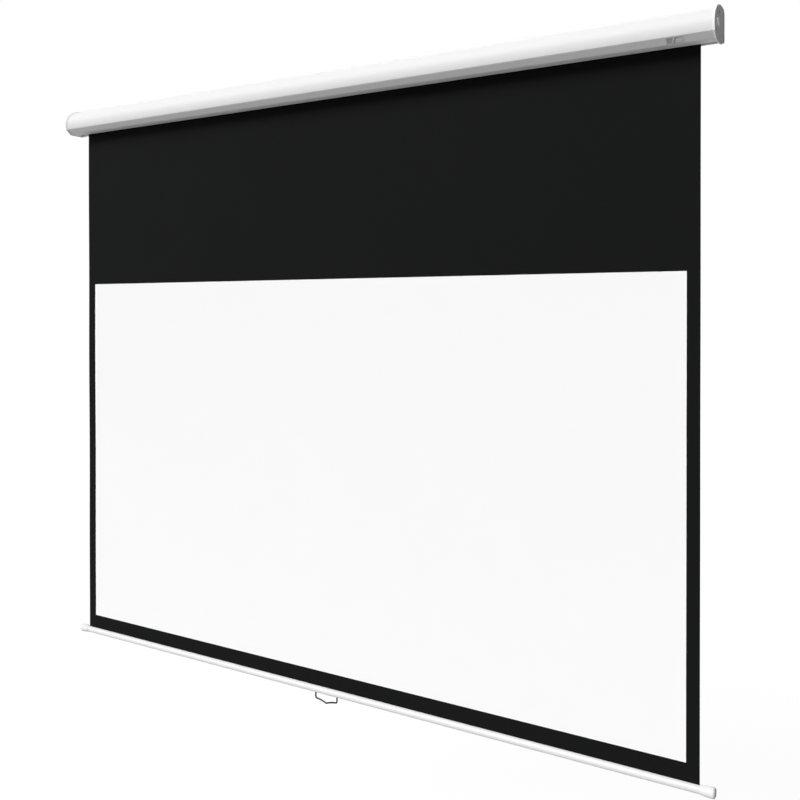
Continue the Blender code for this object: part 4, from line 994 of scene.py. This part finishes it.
def make_floor():
    """A pale floor that the eye sees as almost white, and that still catches the shadow."""
    bm = bmesh.new()
    bmesh.ops.create_grid(bm, x_segments=1, y_segments=1, size=FLOOR_HALF)
    bmesh.ops.translate(bm, vec=(0, 0, FLOOR_Z), verts=bm.verts)
    material = bpy.data.materials.new("pale_floor")
    material.use_nodes = True
    tree = material.node_tree
    tree.nodes.clear()
    output = tree.nodes.new("ShaderNodeOutputMaterial")
    chosen = tree.nodes.new("ShaderNodeMixShader")
    plain = tree.nodes.new("ShaderNodeBsdfDiffuse")
    plain.inputs["Color"].default_value = (FLOOR_TONE, FLOOR_TONE, FLOOR_TONE, 1)
    seen = tree.nodes.new("ShaderNodeAddShader")
    glow = tree.nodes.new("ShaderNodeEmission")
    glow.inputs["Color"].default_value = (1, 1, 1, 1)
    glow.inputs["Strength"].default_value = FLOOR_GLOW
    faint = tree.nodes.new("ShaderNodeBsdfDiffuse")
    faint.inputs["Color"].default_value = (FLOOR_CATCH, FLOOR_CATCH, FLOOR_CATCH, 1)
    tree.links.new(glow.outputs[0], seen.inputs[0])
    tree.links.new(faint.outputs[0], seen.inputs[1])
    tree.links.new(seen_by_eye(tree), chosen.inputs[0])
    tree.links.new(plain.outputs[0], chosen.inputs[1])
    tree.links.new(seen.outputs[0], chosen.inputs[2])
    tree.links.new(chosen.outputs[0], output.inputs[0])
    floor = new_object("floor", bm, material, None)


def seen_by_eye(tree):
    """1 for rays from the camera, and for what metal and glass show of the background."""
    path = tree.nodes.new("ShaderNodeLightPath")
    total = path.outputs["Is Camera Ray"]
    for name in ("Is Glossy Ray", "Is Transmission Ray"):
        larger = tree.nodes.new("ShaderNodeMath")
        larger.operation = "MAXIMUM"
        tree.links.new(total, larger.inputs[0])
        tree.links.new(path.outputs[name], larger.inputs[1])
        total = larger.outputs[0]
    return total


def make_world():
    """Soft light, stronger from the left, before a background that the eye sees as white."""
    world = bpy.data.worlds.new("studio")
    bpy.context.scene.world = world
    world.use_nodes = True
    tree = world.node_tree
    tree.nodes.clear()
    output = tree.nodes.new("ShaderNodeOutputWorld")
    chosen = tree.nodes.new("ShaderNodeMixShader")
    soft = tree.nodes.new("ShaderNodeBackground")
    soft.inputs["Color"].default_value = (1, 1, 1, 1)
    coords = tree.nodes.new("ShaderNodeTexCoord")
    parts = tree.nodes.new("ShaderNodeSeparateXYZ")
    strength = tree.nodes.new("ShaderNodeMapRange")
    strength.inputs["From Min"].default_value = -1.0
    strength.inputs["To Min"].default_value = SKY_LEFT
    strength.inputs["To Max"].default_value = SKY_RIGHT
    tree.links.new(coords.outputs["Generated"], parts.inputs[0])
    tree.links.new(parts.outputs["X"], strength.inputs["Value"])
    tree.links.new(strength.outputs[0], soft.inputs["Strength"])
    white = tree.nodes.new("ShaderNodeBackground")
    white.inputs["Color"].default_value = (1, 1, 1, 1)
    white.inputs["Strength"].default_value = 1.0
    tree.links.new(seen_by_eye(tree), chosen.inputs[0])
    tree.links.new(soft.outputs[0], chosen.inputs[1])
    tree.links.new(white.outputs[0], chosen.inputs[2])
    tree.links.new(chosen.outputs[0], output.inputs[0])


def make_sun(name, azimuth, elevation, share, spread_angle):
    """A lamp far off, with angles in degrees: azimuth 0 is in front of the screen and 90 is to its right.

    A share of 1 shows a colour as written on a surface that faces the lamp.
    """
    a, e = math.radians(azimuth), math.radians(elevation)
    towards = Vector((math.sin(a) * math.cos(e), -math.cos(a) * math.cos(e), math.sin(e)))
    lamp = bpy.data.lights.new(name, "SUN")
    lamp.energy = math.pi * share
    lamp.angle = math.radians(spread_angle)
    obj = bpy.data.objects.new(name, lamp)
    obj.rotation_mode = "QUATERNION"
    obj.rotation_quaternion = towards.to_track_quat("Z", "Y")
    bpy.context.scene.collection.objects.link(obj)


def make_camera():
    camera = bpy.data.cameras.new("camera")
    camera.lens = CAMERA_LENS
    camera.sensor_width = CAMERA_SENSOR
    camera.shift_x, camera.shift_y = CAMERA_SHIFT
    camera.clip_start, camera.clip_end = 0.05, 100
    obj = bpy.data.objects.new("camera", camera)
    obj.location = CAMERA_PLACE
    obj.rotation_euler = (math.radians(90 + CAMERA_PITCH), 0, math.radians(CAMERA_YAW))
    bpy.context.scene.collection.objects.link(obj)
    bpy.context.scene.camera = obj


make_floor()
make_world()
make_sun("key", azimuth=-25, elevation=38, share=1.06, spread_angle=30)
make_sun("back_fill", azimuth=200, elevation=35, share=0.25, spread_angle=40)
make_camera()
bpy.context.scene.view_settings.view_transform = "Standard"
